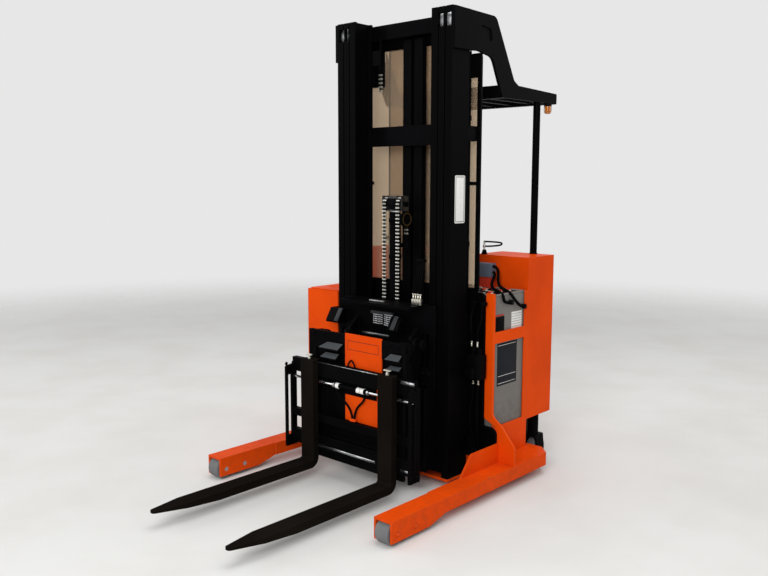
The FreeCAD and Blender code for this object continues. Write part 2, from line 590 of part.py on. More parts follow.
def save_mast():
    outer = notched(channel(OUTER_X, MAST_BOTTOM_Z), OUTER_X)
    save("outer_rails", *both_sides(outer))
    ties = both_sides(block((OUTER_X[1] - WEB, OUTER_X[1]), (RAIL_DEPTH, OUTER_TIE_Y), CHEEK_Z))
    for z in OUTER_TIE_Z:
        ties.append(fuse(
            block((-OUTER_X[1], OUTER_X[1]), (OUTER_TIE_Y, BULKHEAD_Y), z),
            *both_sides(block((OUTER_X[1] - WEB, OUTER_X[1]), (RAIL_DEPTH, OUTER_TIE_Y), z))))
    save("outer_cross_ties", *ties)

    middle = notched(rail(MIDDLE_X, STAGE_BOTTOM_Z), MIDDLE_X)
    save("middle_rails", *both_sides(middle))
    stub = block((MIDDLE_X[0] + 4, MIDDLE_X[1] - 4), (RAIL_DEPTH, MIDDLE_TIE_Y), MIDDLE_TOP_Z)
    foot_half = LIFT_CYLINDER_X - LIFT_BARREL_R - LINK_GAP
    foot = block((MIDDLE_X[0], foot_half), (RAIL_DEPTH, MIDDLE_TIE_Y), MIDDLE_FOOT_Z)
    head = block((MIDDLE_X[0], OUTER_X[1] - WEB - LINK_GAP), (MIDDLE_TIE_Y, OUTER_TIE_Y - LINK_GAP),
                 (LIFT_HEAD_Z, LIFT_HEAD_Z + 26))
    save("middle_cross_ties",
         fuse(tie(MIDDLE_X[1] - 4, MIDDLE_TIE_Y, MIDDLE_TOP_Z), *both_sides(stub), *both_sides(head)),
         fuse(tie(foot_half, MIDDLE_TIE_Y, MIDDLE_FOOT_Z), *both_sides(foot)))

    inner = rail(INNER_X, STAGE_BOTTOM_Z)
    save("inner_rails", *both_sides(inner))
    foot_z = (STAGE_BOTTOM_Z, FOOT_TIE_TOP_Z)
    foot = fuse(tie(INNER_X[0], INNER_TIE_Y, foot_z), block((-60, 60), (0, INNER_TIE_Y), foot_z))
    save("inner_cross_ties", foot, *[tie(INNER_X[0], INNER_TIE_Y, z) for z in (TOP_TIE_Z, MID_TIE_Z)])

    barrel = Part.makeCylinder(LIFT_BARREL_R, LIFT_BARREL_TOP_Z - MAST_BOTTOM_Z,
                               Vector(LIFT_CYLINDER_X, LIFT_CYLINDER_Y, MAST_BOTTOM_Z))
    bore = Part.makeCylinder(LIFT_ROD_R + RUNNING_GAP, LIFT_BARREL_TOP_Z,
                             Vector(LIFT_CYLINDER_X, LIFT_CYLINDER_Y, LIFT_ROD_BOTTOM_Z))
    save("lift_cylinder_barrels", *both_sides(barrel.cut(bore)))
    lift_rod = Part.makeCylinder(LIFT_ROD_R, LIFT_HEAD_Z - LIFT_ROD_BOTTOM_Z - 10,
                                 Vector(LIFT_CYLINDER_X, LIFT_CYLINDER_Y, LIFT_ROD_BOTTOM_Z + 10))
    save("lift_cylinder_rods", *both_sides(lift_rod))


def guide_roller(x, z):
    """A guide roller between two webs, (low, high) in X."""
    return rod(((x[0] + x[1]) / 2, RAIL_DEPTH / 2, z), (1, 0, 0), ROLLER_R, x[1] - x[0])


def save_mast_rollers():
    """Each stage is held by rollers at the top of the rail outside it and at its own foot."""
    top = MAST_HEIGHT - NOTCH_GAP - ROLLER_NOTCH / 2
    foot = STAGE_BOTTOM_Z + 70
    middle_web = (MIDDLE_X[0] + MIDDLE_X[1]) / 2
    inner_web = (INNER_X[0] + INNER_X[1]) / 2
    outer_gap = (middle_web + WEB / 2, OUTER_X[1] - WEB)
    inner_gap = (inner_web + WEB / 2, middle_web - WEB / 2)
    save("outer_mast_rollers", *both_sides(guide_roller((outer_gap[0] + 2, outer_gap[1]), top)))
    save("middle_mast_rollers",
         *both_sides(guide_roller((outer_gap[0], outer_gap[1] - 2), foot)),
         *both_sides(guide_roller((inner_gap[0] + 2, inner_gap[1]), top)))
    save("inner_mast_rollers", *both_sides(guide_roller((inner_gap[0], inner_gap[1] - 2), foot)))


def save_free_lift():
    """The free-lift cylinder stands in the inner stage and pushes a crosshead with two chain wheels."""
    y = FREE_CYLINDER_Y
    low = FOOT_TIE_TOP_Z
    barrel = tube((0, y, (low + FREE_BARREL_TOP_Z) / 2), (0, 0, 1), FREE_BARREL_R, FREE_ROD_R + RUNNING_GAP,
                  FREE_BARREL_TOP_Z - low)
    save("free_lift_barrel", barrel)
    head = block((-CROSSHEAD_X, CROSSHEAD_X), (y - 28, y + 28), CROSSHEAD_Z)
    for side in (-1, 1):
        head = head.cut(block((side * CHAIN_SHEAVE_X - 14, side * CHAIN_SHEAVE_X + 14), (y - 60, y + 60),
                              (CROSSHEAD_Z[0] - 1, CROSSHEAD_Z[1] + 1)))
    stem = Part.makeCylinder(FREE_ROD_R, CROSSHEAD_Z[0] - 200, Vector(0, y, 200))
    pin = rod((0, y, CHAIN_SHEAVE_Z), (1, 0, 0), 10, 2 * CROSSHEAD_X)
    save("free_lift_crosshead", fuse(head, stem, pin))
    wheels = []
    for side in (-1, 1):
        wheels.append(tube((side * CHAIN_SHEAVE_X, y, CHAIN_SHEAVE_Z), (1, 0, 0), CHAIN_SHEAVE_R,
                           10 + RUNNING_GAP, 24))
    save("chain_sheaves", *wheels)


# ================================================================ mast carriage and linkage
def arm_end_y():
    return ARM_PIVOT_Y - ARM_LENGTH * math.sin(math.radians(ARM_FOLDED_DEG))


def arm_end_z():
    return ARM_PIVOT_Z - ARM_LENGTH * math.cos(math.radians(ARM_FOLDED_DEG))


def track(x, y_centre, inwards):
    """An upright channel that an arm's lower roller runs in; open towards the arm."""
    half = TRACK_ROLLER_R + 1
    wall = 8.0
    z = (REACH_FRAME_BOTTOM_Z, TRACK_TOP_Z)
    low, high = x
    outer = block(x, (y_centre - half - wall, y_centre + half + wall), z)
    if inwards:
        groove = block((low - 1, high - wall), (y_centre - half, y_centre + half), (z[0] - 1, z[1] + 1))
    else:
        groove = block((low + wall, high + 1), (y_centre - half, y_centre + half), (z[0] - 1, z[1] + 1))
    return outer.cut(groove)


ARM1_X = (OUTER_ARM_X, OUTER_ARM_X + ARM_T)
ARM2_X = (ARM1_X[1] + LINK_GAP, ARM1_X[1] + LINK_GAP + ARM_T)
MAST_TRACK_X = (ARM2_X[1] + LINK_GAP, ARM2_X[1] + LINK_GAP + 38)
FRAME_TRACK_X = (ARM1_X[0] - LINK_GAP - 38, ARM1_X[0] - LINK_GAP)


def save_mast_carriage():
    rear = RAIL_DEPTH - 20
    side = plate([(CARRIAGE_BACK_Y, CARRIAGE_Z[0]), (rear, CARRIAGE_Z[0], 20), (rear, 400, 20),
                  (40, 460, 30), (40, 590, 30), (rear, 650, 20),
                  (rear, CARRIAGE_Z[1] - 40, 20), (CARRIAGE_BACK_Y, CARRIAGE_Z[1] - 40)],
                 "YZ", CARRIAGE_SIDE_X[0], CARRIAGE_SIDE_X[1] - CARRIAGE_SIDE_X[0])
    back = CARRIAGE_BACK_Y
    front = back - CARRIAGE_PLATE_T
    pieces = []
    bracket_x = MAST_TRACK_X[1]
    pieces.append(block((-bracket_x, bracket_x), (front, back), (96, 200)))
    pieces.append(block((-bracket_x, bracket_x), (front, back), (500, 620)))
    pieces.append(block((-bracket_x, bracket_x), (front, back), (800, CARRIAGE_Z[1])))
    upright = block((MAST_TRACK_X[0], MAST_TRACK_X[1]), (front, back), (96, CARRIAGE_Z[1]))
    pieces += both_sides(upright)
    link = block((MAST_TRACK_X[1] - 8, MAST_TRACK_X[1]), (ARM_PIVOT_Y, front), (REACH_FRAME_BOTTOM_Z, TRACK_TOP_Z))
    guide = fuse(track(MAST_TRACK_X, ARM_PIVOT_Y, True), link)
    save("carriage_plates", *both_sides(side), *both_sides(guide))
    ear_x = (ARM1_X[0] - LINK_GAP - 20, ARM1_X[0] - LINK_GAP)
    ear = plate([(ARM_PIVOT_Y - 34, ARM_PIVOT_Z - 34, 34), (ARM_PIVOT_Y - 34, ARM_PIVOT_Z + 34, 34),
                 (front, 850), (front, 640)], "YZ", ear_x[0], 20)
    pin = rod((0, ARM_PIVOT_Y, ARM_PIVOT_Z), (1, 0, 0), PIVOT_PIN_R, 2 * (ARM1_X[1]))
    pin = pin.cut(block((-ear_x[0], ear_x[0]), (-300, 0), (0, 900)))
    pieces += both_sides(ear)
    pieces.append(block((-ear_x[1], ear_x[1]), (front, back), (640, 800)))
    pieces.append(block(SHELF_X, (SHELF_FRONT_Y, back), (CARRIAGE_Z[1] - SHELF_T, CARRIAGE_Z[1])))
    for x in STOP_X:
        pieces.append(plate([(back, STOP_Z[0]), (back, STOP_Z[1]), (-60, STOP_Z[1]), (-100, STOP_Z[0] + 10),
                             (-100, STOP_Z[0])], "YZ", x[0], x[1] - x[0]))
    whole = fuse(*pieces, pin)
    save("mast_carriage", whole)
    rollers = []
    for z in (190, 340, 700, 850):
        rollers += both_sides(rod((CARRIAGE_SIDE_X[1] + 13, RAIL_DEPTH / 2, z), (1, 0, 0), ROLLER_R, 26))
    save("carriage_rollers", *rollers)


def arm(x, top_y, low_y):
    """One flat arm of the scissor with bored ends and centre."""
    top = Vector(0, top_y, ARM_PIVOT_Z)
    low = Vector(0, low_y, arm_end_z())
    along = (low - top).normalize()
    across = Vector(0, along.z, -along.y)
    half = ARM_WIDTH / 2
    corners = [top + across * half, low + across * half, low - across * half, top - across * half]
    points = [(c.y, c.z) for c in corners]
    body = plate(points, "YZ", x[0], x[1] - x[0])
    for end in (top, low):
        body = body.fuse(rod(((x[0] + x[1]) / 2, end.y, end.z), (1, 0, 0), half, x[1] - x[0]))
    return body.removeSplitter()


def save_linkage():
    near, far = ARM_PIVOT_Y, arm_end_y()
    centre_y, centre_z = (near + far) / 2, (ARM_PIVOT_Z + arm_end_z()) / 2
    bore = PIVOT_PIN_R + RUNNING_GAP
    # the outer arms hang from the mast carriage and roll in the reach frame
    first = arm(ARM1_X, near, far)
    first = first.cut(rod((ARM1_X[0], near, ARM_PIVOT_Z), (1, 0, 0), bore, 200))
    roller = rod((FRAME_TRACK_X[1] - 9, far, arm_end_z()), (1, 0, 0), TRACK_ROLLER_R, 26)
    neck = rod((ARM1_X[0] - 5, far, arm_end_z()), (1, 0, 0), PIVOT_PIN_R, 12)
    hub = rod((ARM2_X[0] + 5, centre_y, centre_z), (1, 0, 0), PIVOT_PIN_R, 2 * (ARM2_X[1] - ARM2_X[0] - 5))
    cross = rod((0, centre_y, centre_z), (1, 0, 0), 24, 2 * ARM1_X[0])
    save("outer_scissor_arms", fuse(*both_sides(fuse(first, neck, roller, hub)), cross))
    # the inner arms hang from the reach frame and roll in the mast carriage
    second = arm(ARM2_X, far, near)
    second = second.cut(rod((ARM2_X[0], far, ARM_PIVOT_Z), (1, 0, 0), bore, 200))
    second = second.cut(rod((ARM2_X[0], centre_y, centre_z), (1, 0, 0), bore, 200))
    roller = rod((MAST_TRACK_X[0] + 9, near, arm_end_z()), (1, 0, 0), TRACK_ROLLER_R, 26)
    neck = rod((ARM2_X[1] + 5, near, arm_end_z()), (1, 0, 0), PIVOT_PIN_R, 12)
    save("inner_scissor_arms", *both_sides(fuse(second, neck, roller)))


def save_reach_frame():
    far = arm_end_y()
    front = FORK_FRONT_Y + FORK_THICK + BAR_T + LINK_GAP
    back = front + 20
    guide = track(FRAME_TRACK_X, far, False)
    pieces = both_sides(guide)
    web = block((FRAME_TRACK_X[0], FRAME_TRACK_X[0] + 12), (front, far + 20), (REACH_FRAME_BOTTOM_Z, TRACK_TOP_Z))
    pieces += both_sides(web)
    for z in ((REACH_FRAME_BOTTOM_Z, 235), (520, 620), (700, REACH_FRAME_TOP_Z)):
        pieces.append(block((-REACH_FRAME_X, REACH_FRAME_X), (front, back), z))
    ear_x = (ARM2_X[1] + LINK_GAP, ARM2_X[1] + LINK_GAP + 20)
    pieces += both_sides(block((ear_x[0], REACH_FRAME_X), (front, back), (REACH_FRAME_BOTTOM_Z, REACH_FRAME_TOP_Z)))
    ear = plate([(far + 34, ARM_PIVOT_Z - 34, 34), (far + 34, ARM_PIVOT_Z + 34, 34), (front, REACH_FRAME_TOP_Z),
                 (front, 660)], "YZ", ear_x[0], 20)
    pin = rod((0, far, ARM_PIVOT_Z), (1, 0, 0), PIVOT_PIN_R, 2 * ear_x[1])
    pin = pin.cut(block((-ARM2_X[0], ARM2_X[0]), (-600, 0), (0, 900)))
    pieces += both_sides(ear)
    for z in (TOP_BAR_Z, LOW_BAR_Z):
        pieces.append(block((-300, 300), (front - LINK_GAP + BAR_GAP, front), z))
    cylinder_y = front - LINK_GAP - BAR_T / 2
    barrel = tube((0, cylinder_y, SHIFT_ROD_Z), (1, 0, 0), SHIFT_BARREL_R, SHIFT_ROD_R + RUNNING_GAP, 230)
    saddle = block((-90, 90), (cylinder_y + 6, front), (SHIFT_ROD_Z - 12, SHIFT_ROD_Z + 12))
    saddle = saddle.cut(rod((0, cylinder_y, SHIFT_ROD_Z), (1, 0, 0), SHIFT_BARREL_R - 2, 400))
    pieces += [saddle, barrel]
    closing = block((-ear_x[0], ear_x[0]), (back - REACH_WEB_T, back), (REACH_FRAME_BOTTOM_Z, REACH_FRAME_TOP_Z))
    recess = block((COVER_X[0] - SEAT_GAP, COVER_X[1] + SEAT_GAP), (front - SEAT_GAP, front + SHEET + SEAT_GAP),
                   (COVER_Z[0] - SEAT_GAP, COVER_Z[1]))
    save("reach_frame", fuse(*pieces, pin, closing).cut(recess))
    clamp_x, clamp_z = HOSE_CLAMP
    clamp = block((clamp_x - 18, clamp_x + 18), (cylinder_y - 9, front + SHEET), (clamp_z - 14, clamp_z - SEAT_GAP))
    save("reach_frame_plate", fuse(block(COVER_X, (front, front + SHEET), COVER_Z), clamp))
    port_z = SHIFT_ROD_Z - SHIFT_BARREL_R - SEAT_GAP
    for name, x, side in (("left", -106, -1), ("right", 97, 1)):
        y, low_x = cylinder_y, clamp_x + side * 8
        points = [(x, y, port_z), (x, y, port_z - 30), (x * 0.3 + clamp_x * 0.7, y, port_z - 78),
                  (low_x, y, clamp_z + 15), (low_x, y, clamp_z)]
        save("sideshift_hose_" + name, cord(points, (24, 40, 20), HOSE_R))


# ================================================================ fork carriage and forks
def save_fork_carriage():
    back = FORK_FRONT_Y + FORK_THICK
    y = (back, back + BAR_T)
    pieces = []
    for z in (TOP_BAR_Z, MID_BAR_Z, LOW_BAR_Z):
        pieces.append(block((-BAR_HALF_WIDTH, BAR_HALF_WIDTH), y, z))
    end = plate([(FORK_FRONT_Y - 6, 130), (back + BAR_T, 130), (back + BAR_T, 590, 12), (FORK_FRONT_Y - 6, 580, 12)],
                "YZ", BAR_HALF_WIDTH, END_PLATE_T)
    end = end.cut(block((0, 2 * BAR_HALF_WIDTH), (FORK_FRONT_Y + 8, back - 6), END_SLOT_Z))
    pieces += both_sides(end)
    save("fork_carriage", fuse(*pieces))
    save("sideshift_rod", rod((0, back + BAR_T / 2, SHIFT_ROD_Z), (1, 0, 0), SHIFT_ROD_R, 2 * BAR_HALF_WIDTH))


def fork():
    """A bent fork: a shank that hooks on the bars and a tapering blade."""
    half = FORK_WIDTH / 2
    back = FORK_FRONT_Y + FORK_THICK - BAR_GAP
    heel = 55.0
    low = FORK_TOP_Z - FORK_THICK
    side = plate([(FORK_FRONT_Y, FORK_SHANK_TOP_Z), (back, FORK_SHANK_TOP_Z), (back, low, heel),
                  (FORK_TIP_Y + 350, low), (FORK_TIP_Y, FORK_TOP_Z - 12), (FORK_TIP_Y, FORK_TOP_Z),
                  (FORK_FRONT_Y, FORK_TOP_Z, 14)], "YZ", -half, FORK_WIDTH)
    top = plate([(-half, FORK_FRONT_Y + 60), (-half, FORK_TIP_Y + 170), (-14, FORK_TIP_Y, 14),
                 (14, FORK_TIP_Y, 14), (half, FORK_TIP_Y + 170), (half, FORK_FRONT_Y + 60)], "XY", 0, 700)
    return side.common(top)


def save_forks():
    for name, side in (("fork_right", 1), ("fork_left", -1)):
        shape = fork()
        shape.translate(Vector(side * FORK_HALF_GAP, 0, 0))
        save(name, shape)


# ================================================================ drive wheel and caster
def knuckle(x, y, radius, width, trail, top):
    """An inverted U over a wheel, with its axle and the spindle that it steers on."""
    gap = 6.0
    half = width / 2 + gap
    crown = 2 * radius + 14
    sides = []
    for side in (-1, 1):
        at = x + side * half if side > 0 else x - half - KNUCKLE_T
        sides.append(plate([(y + trail - 30, radius - 30, 30), (y + trail + 30, radius - 30, 30),
                            (y + 40, crown + 10), (y - 40, crown + 10)], "YZ", at, KNUCKLE_T))
    roof = block((x - half - KNUCKLE_T, x + half + KNUCKLE_T), (y - 40, y + 40), (crown, crown + 12))
    axle = rod((x, y + trail, radius), (1, 0, 0), DRIVE_AXLE_R * radius / DRIVE_WHEEL_R, 2 * (half + KNUCKLE_T))
    spindle = Part.makeCylinder(SPINDLE_R, top - crown, Vector(x, y, crown))
    return fuse(roof, *sides, axle, spindle)


def save_rear_wheels():
    hub = DRIVE_AXLE_R + RUNNING_GAP
    save("drive_wheel", tyre((DRIVE_X, DRIVE_Y, DRIVE_WHEEL_R), DRIVE_WHEEL_R, DRIVE_WHEEL_WIDTH, hub, 8))
    save("drive_knuckle", knuckle(DRIVE_X, DRIVE_Y, DRIVE_WHEEL_R, DRIVE_WHEEL_WIDTH, 0, 330))
    caster_bore = DRIVE_AXLE_R * CASTER_WHEEL_R / DRIVE_WHEEL_R + RUNNING_GAP
    save("caster_wheel", tyre((CASTER_X, CASTER_Y + CASTER_TRAIL, CASTER_WHEEL_R), CASTER_WHEEL_R,
                              CASTER_WHEEL_WIDTH, caster_bore, 6))
    save("caster_fork", knuckle(CASTER_X, CASTER_Y, CASTER_WHEEL_R, CASTER_WHEEL_WIDTH, CASTER_TRAIL, 330))
    shelves = []
    for x, y, low, high in ((DRIVE_X, DRIVE_Y, BODY_LEFT_X + SHEET, CABIN_X[0] - SHEET),
                            (CASTER_X, CASTER_Y, CABIN_X[1] + SHEET, BODY_RIGHT_X - SHEET)):
        shelf = block((low, high), (WALL_Y + 2 * SHEET, POD_REAR_Y - SHEET), (300, 316))
        shelves.append(shelf.cut(rod((x, y, 300), (0, 0, 1), SPINDLE_R + RUNNING_GAP, 200)))
    save("spindle_shelves", *shelves)


# ================================================================ steering wheel
def save_steering():
    ring = Part.makeTorus(STEER_WHEEL_R, STEER_RIM_R, STEER_WHEEL_CENTRE)
    hub = Part.makeCylinder(26, STEER_WHEEL_CENTRE.z - BODY_TOP_Z, Vector(
        STEER_WHEEL_CENTRE.x, STEER_WHEEL_CENTRE.y, BODY_TOP_Z + 0.3))
    spokes = []
    for i in range(3):
        spoke = rod((STEER_WHEEL_R / 2 + 6, 0, 0), (1, 0, 0), 6, STEER_WHEEL_R - 6)
        spoke.rotate(Vector(0, 0, 0), Vector(0, 0, 1), 120 * i + 30)
        spoke.translate(STEER_WHEEL_CENTRE)
        spokes.append(spoke)
    save("steering_wheel", fuse(ring, hub, *spokes))


os.makedirs("parts", exist_ok=True)
save_legs()
save_chassis()
save_compartment()
save_guard()
save_mast_guard()
save_mast()
save_mast_rollers()
save_free_lift()
save_mast_carriage()
save_linkage()
save_reach_frame()
save_fork_carriage()
save_forks()
save_rear_wheels()
save_steering()
print(len(written), "pieces")
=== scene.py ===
"""Looks of a stand-up straddle reach truck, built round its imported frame.

Lengths are metres in the row frame: X across the truck, forks along -Y, Z up.  Every new piece is a
numpy surface: a grid of two parameters, or a profile carried along a path.
"""

import json
import logging
import math
from dataclasses import dataclass
from enum import Enum
from typing import ClassVar, Iterable, Optional, Sequence, Union

import bpy
import numpy as np
from mathutils import Matrix, Vector


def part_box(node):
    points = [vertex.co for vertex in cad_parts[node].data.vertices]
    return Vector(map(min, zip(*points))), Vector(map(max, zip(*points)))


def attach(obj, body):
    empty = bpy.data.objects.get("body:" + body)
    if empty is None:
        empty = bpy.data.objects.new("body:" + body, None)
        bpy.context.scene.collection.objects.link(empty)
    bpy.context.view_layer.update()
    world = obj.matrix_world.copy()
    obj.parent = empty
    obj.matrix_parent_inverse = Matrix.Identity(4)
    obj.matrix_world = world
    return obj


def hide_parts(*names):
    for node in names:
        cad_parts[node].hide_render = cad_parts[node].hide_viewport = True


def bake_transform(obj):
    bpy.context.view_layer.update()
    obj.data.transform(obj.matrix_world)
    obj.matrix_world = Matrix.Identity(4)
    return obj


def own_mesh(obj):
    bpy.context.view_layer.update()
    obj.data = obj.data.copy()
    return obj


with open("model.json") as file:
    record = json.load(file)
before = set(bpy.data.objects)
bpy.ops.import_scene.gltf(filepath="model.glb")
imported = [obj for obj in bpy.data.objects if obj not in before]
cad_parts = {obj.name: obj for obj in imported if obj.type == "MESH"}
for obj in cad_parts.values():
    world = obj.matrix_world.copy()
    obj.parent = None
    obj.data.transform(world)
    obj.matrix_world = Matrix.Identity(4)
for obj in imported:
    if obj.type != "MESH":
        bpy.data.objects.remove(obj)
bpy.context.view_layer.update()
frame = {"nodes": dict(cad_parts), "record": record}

LOG = logging.getLogger("reach_truck")
Array = np.ndarray
Point = Sequence[float]
MAST_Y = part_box("outer_rails")[0].y          # the mast's front face, from which depths are counted
SIDES = (1, -1)
CLEAR = 0.0002                               # gap under a piece that stands on a CAD face
CHAIN_PITCH = 0.01905


# ---- numpy surfaces
def spot(x: float, y: float, z: float) -> Array:
    """A point given by its depth behind the mast's front face."""
    return np.array([x, MAST_Y + y, z])


def grid_faces(rows: int, cols: int, wrap_rows: bool = False) -> Array:
    """Quads of a grid of closed rows, whose vertex (i, j) has the index i * cols + j.

    Args:
        rows: number of rings.
        cols: number of points on each.
        wrap_rows: whether the last ring joins the first.
    Returns:
        (N, 4) indices of the vertices.
    """
    i = np.arange(rows if wrap_rows else rows - 1)[:, None]
    j = np.arange(cols)[None, :]
    below, beside = (i + 1) % rows, (j + 1) % cols
    quads = [i * cols + j, i * cols + beside, below * cols + beside, below * cols + j]
    return np.stack(np.broadcast_arrays(*quads), -1).reshape(-1, 4)


@dataclass
class Shape:
    """Vertices and faces of a surface; each array of faces holds polygons of one size."""

    verts: Array
    faces: list[Array]

    def __add__(self, other: "Shape") -> "Shape":
        """Both surfaces side by side in one."""
        shift = len(self.verts)
        return Shape(np.vstack([self.verts, other.verts]), self.faces + [f + shift for f in other.faces])

    def moved(self, by: Point) -> "Shape":
        """The surface shifted."""
        return Shape(self.verts + np.asarray(by, float), self.faces)

    def turned(self, matrix: Array) -> "Shape":
        """The surface under a 3 x 3 matrix, kept facing outwards."""
        faces = self.faces if np.linalg.det(matrix) > 0 else [f[:, ::-1] for f in self.faces]
        return Shape(self.verts @ np.asarray(matrix).T, faces)

    def mirrored(self) -> "Shape":
        """The surface reflected to the truck's other side."""
        return self.turned(np.diag([-1.0, 1.0, 1.0]))

    def outward(self) -> "Shape":
        """Faces turned over if the volume that they enclose comes out negative.

        Returns:
            The surface, turned over or not.
        """
        total = 0.0
        for f in self.faces:
            a = self.verts[f[:, 0]]
            for k in range(1, f.shape[1] - 1):
                total += np.einsum("ij,ij->", a, np.cross(self.verts[f[:, k]], self.verts[f[:, k + 1]]))
        return self if total >= 0 else Shape(self.verts, [f[:, ::-1] for f in self.faces])

    def copies(self, offsets: Array, matrices: Optional[Array] = None) -> "Shape":
        """Many copies at once.

        Args:
            offsets: (K, 3) places of the copies.
            matrices: (K, 3, 3) turns of the copies, or None for none.
        Returns:
            One surface that holds all K copies.
        """
        offsets = np.asarray(offsets, float).reshape(-1, 3)
        count, size = len(offsets), len(self.verts)
        turned = (np.broadcast_to(self.verts, (count, size, 3)) if matrices is None
                  else np.einsum("kij,nj->kni", matrices, self.verts))
        verts = (turned + offsets[:, None]).reshape(-1, 3)
        step = (np.arange(count) * size)[:, None, None]
        return Shape(verts, [(f[None] + step).reshape(-1, f.shape[1]) for f in self.faces])


def joined(shapes: Iterable[Shape]) -> Shape:
    """All the surfaces in one.

    Args:
        shapes: the surfaces, at least one.
    Returns:
        One surface.
    """
    shapes = list(shapes)
    total = shapes[0]
    for shape in shapes[1:]:
        total = total + shape
    return total


def both(shape: Shape) -> Shape:
    """The surface and its mirror image across the truck."""
    return shape + shape.mirrored()


def loft(rings: Array, closed: bool = False) -> Shape:
    """A skin over rings of points: vertex (i, j) is point j of ring i.

    Args:
        rings: (R, C, 3) points, each ring closed.
        closed: whether the last ring joins the first; if not, both are filled.
    Returns:
        The skin, facing outwards.
    """
    rows, cols = rings.shape[:2]
    faces = [grid_faces(rows, cols, wrap_rows=closed)]
    if not closed:
        faces += [np.arange(cols)[None, ::-1], (rows - 1) * cols + np.arange(cols)[None]]
    return Shape(rings.reshape(-1, 3), faces).outward()


def circle(radius: float, sides: int = 12) -> Array:
    """A round profile."""
    turn = np.linspace(0, math.tau, sides, endpoint=False)
    return radius * np.stack([np.cos(turn), np.sin(turn)], 1)


def round_corners(width: float, height: float, radius: float, steps: int = 4) -> Array:
    """A rectangle's outline about the origin, each corner an arc of the given radius.

    Args:
        width: along the first axis.
        height: along the second.
        radius: of the corners, cut down to what fits.
        steps: edges on each arc.
    Returns:
        (N, 2) points, counter-clockwise.
    """
    radius = min(radius, width / 2 * 0.999, height / 2 * 0.999)
    quarter = np.linspace(0, math.pi / 2, steps + 1)
    arc = radius * np.stack([np.cos(quarter), np.sin(quarter)], 1)
    middle = np.array([width / 2 - radius, height / 2 - radius])
    flips = np.array([[1, 1], [-1, 1], [-1, -1], [1, -1]])
    parts = [(arc[::-1] if f[0] * f[1] < 0 else arc) * f + middle * f for f in flips]
    return np.vstack(parts)


def inset(outline: Array, by: float) -> Array:
    """A counter-clockwise outline moved inwards: each corner along its mitre.

    Args:
        outline: (N, 2) corners.
        by: how far.
    Returns:
        The corners moved.
    """
    along = np.roll(outline, -1, 0) - outline
    along /= np.maximum(np.linalg.norm(along, axis=1, keepdims=True), 1e-12)
    normal = np.stack([-along[:, 1], along[:, 0]], 1)
    before = np.roll(normal, 1, 0)
    mitre = normal + before
    scale = np.maximum((mitre * normal).sum(1, keepdims=True), 0.5)
    return outline + by * mitre / scale


AXES = {"x": np.array([[0, 0, 1], [1, 0, 0], [0, 1, 0]], float),
        "y": np.array([[0, 1, 0], [0, 0, 1], [1, 0, 0]], float),
        "z": np.eye(3)}


def prism(outline: Array, low: float, high: float, axis: str = "z", edge: float = 0.0015,
          steps: int = 2) -> Shape:
    """An outline carried from low to high, with a rounded edge at each end.

    Ring k sits at height low + edge (1 - cos t) and is inset by edge (1 - sin t), t from 0 to 90 degrees.

    Args:
        outline: (N, 2) corners in the plane of the two axes that follow axis (y, z for x; z, x for y).
        low: where it starts along axis.
        high: where it ends.
        axis: the direction that it is carried along.
        edge: radius of the end edges.
        steps: rows of faces on each rounded edge.
    Returns:
        The closed solid's surface.
    """
    outline = np.asarray(outline, float)
    area = np.sum(outline[:, 0] * np.roll(outline[:, 1], -1) - outline[:, 1] * np.roll(outline[:, 0], -1))
    if area < 0:
        outline = outline[::-1]
    edge = min(edge, (high - low) / 2.01)
    t = np.linspace(0, math.pi / 2, steps + 1)
    heights = np.concatenate([low + edge * (1 - np.cos(t)), (high - edge * (1 - np.cos(t)))[::-1]])
    insets = np.concatenate([edge * (1 - np.sin(t)), (edge * (1 - np.sin(t)))[::-1]])
    rings = np.stack([np.column_stack([inset(outline, d), np.full(len(outline), h)])
        for d, h in zip(insets, heights)])
    return loft(rings @ AXES[axis].T)


def box(low: Point, high: Point, edge: float = 0.0015, corner: Optional[float] = None, axis: str = "z") -> Shape:
    """A block with rounded edges, its corners along axis rounded by corner.

    Args:
        low: one corner.
        high: the opposite corner.
        edge: radius of the edges at both ends of axis.
        corner: radius of the edges along axis, or None for edge.
        axis: the direction that the outline is carried along.
    Returns:
        The closed surface.
    """
    low, high = np.minimum(low, high), np.maximum(low, high)
    a, b, c = {"z": (0, 1, 2), "x": (1, 2, 0), "y": (2, 0, 1)}[axis]
    outline = round_corners(high[a] - low[a], high[b] - low[b], edge if corner is None else corner,
        2 if corner is None else 5)
    outline = outline + [(low[a] + high[a]) / 2, (low[b] + high[b]) / 2]
    return prism(outline, low[c], high[c], axis, edge)


def lathe(profile: Sequence[Point], axis: str = "z", sides: int = 24) -> Shape:
    """A profile of (radius, height) points turned about an axis: angle is one parameter, the profile the other.

    Args:
        profile: (radius, height) points, outwards at the end that they start from.
        axis: what it turns about, through the origin.
        sides: points on each ring.
    Returns:
        The closed surface.
    """
    profile = np.asarray(profile, float)
    rings = np.concatenate([profile[:, None, :1] * circle(1.0, sides)[None],
        np.broadcast_to(profile[:, None, 1:], (len(profile), sides, 1))], 2)
    return loft(rings @ AXES[axis].T)


def frames(path: Array, up: Point) -> tuple[Array, Array]:
    """Side and upper directions along a path, with the side square to a fixed direction.

    Args:
        path: (N, 3) points.
        up: the fixed direction.
    Returns:
        (N, 3) side and upper directions.
    """
    tangent = np.gradient(path, axis=0)
    tangent /= np.linalg.norm(tangent, axis=1, keepdims=True)
    side = np.cross(tangent, np.asarray(up, float))
    side /= np.linalg.norm(side, axis=1, keepdims=True)
    return side, np.cross(side, tangent)


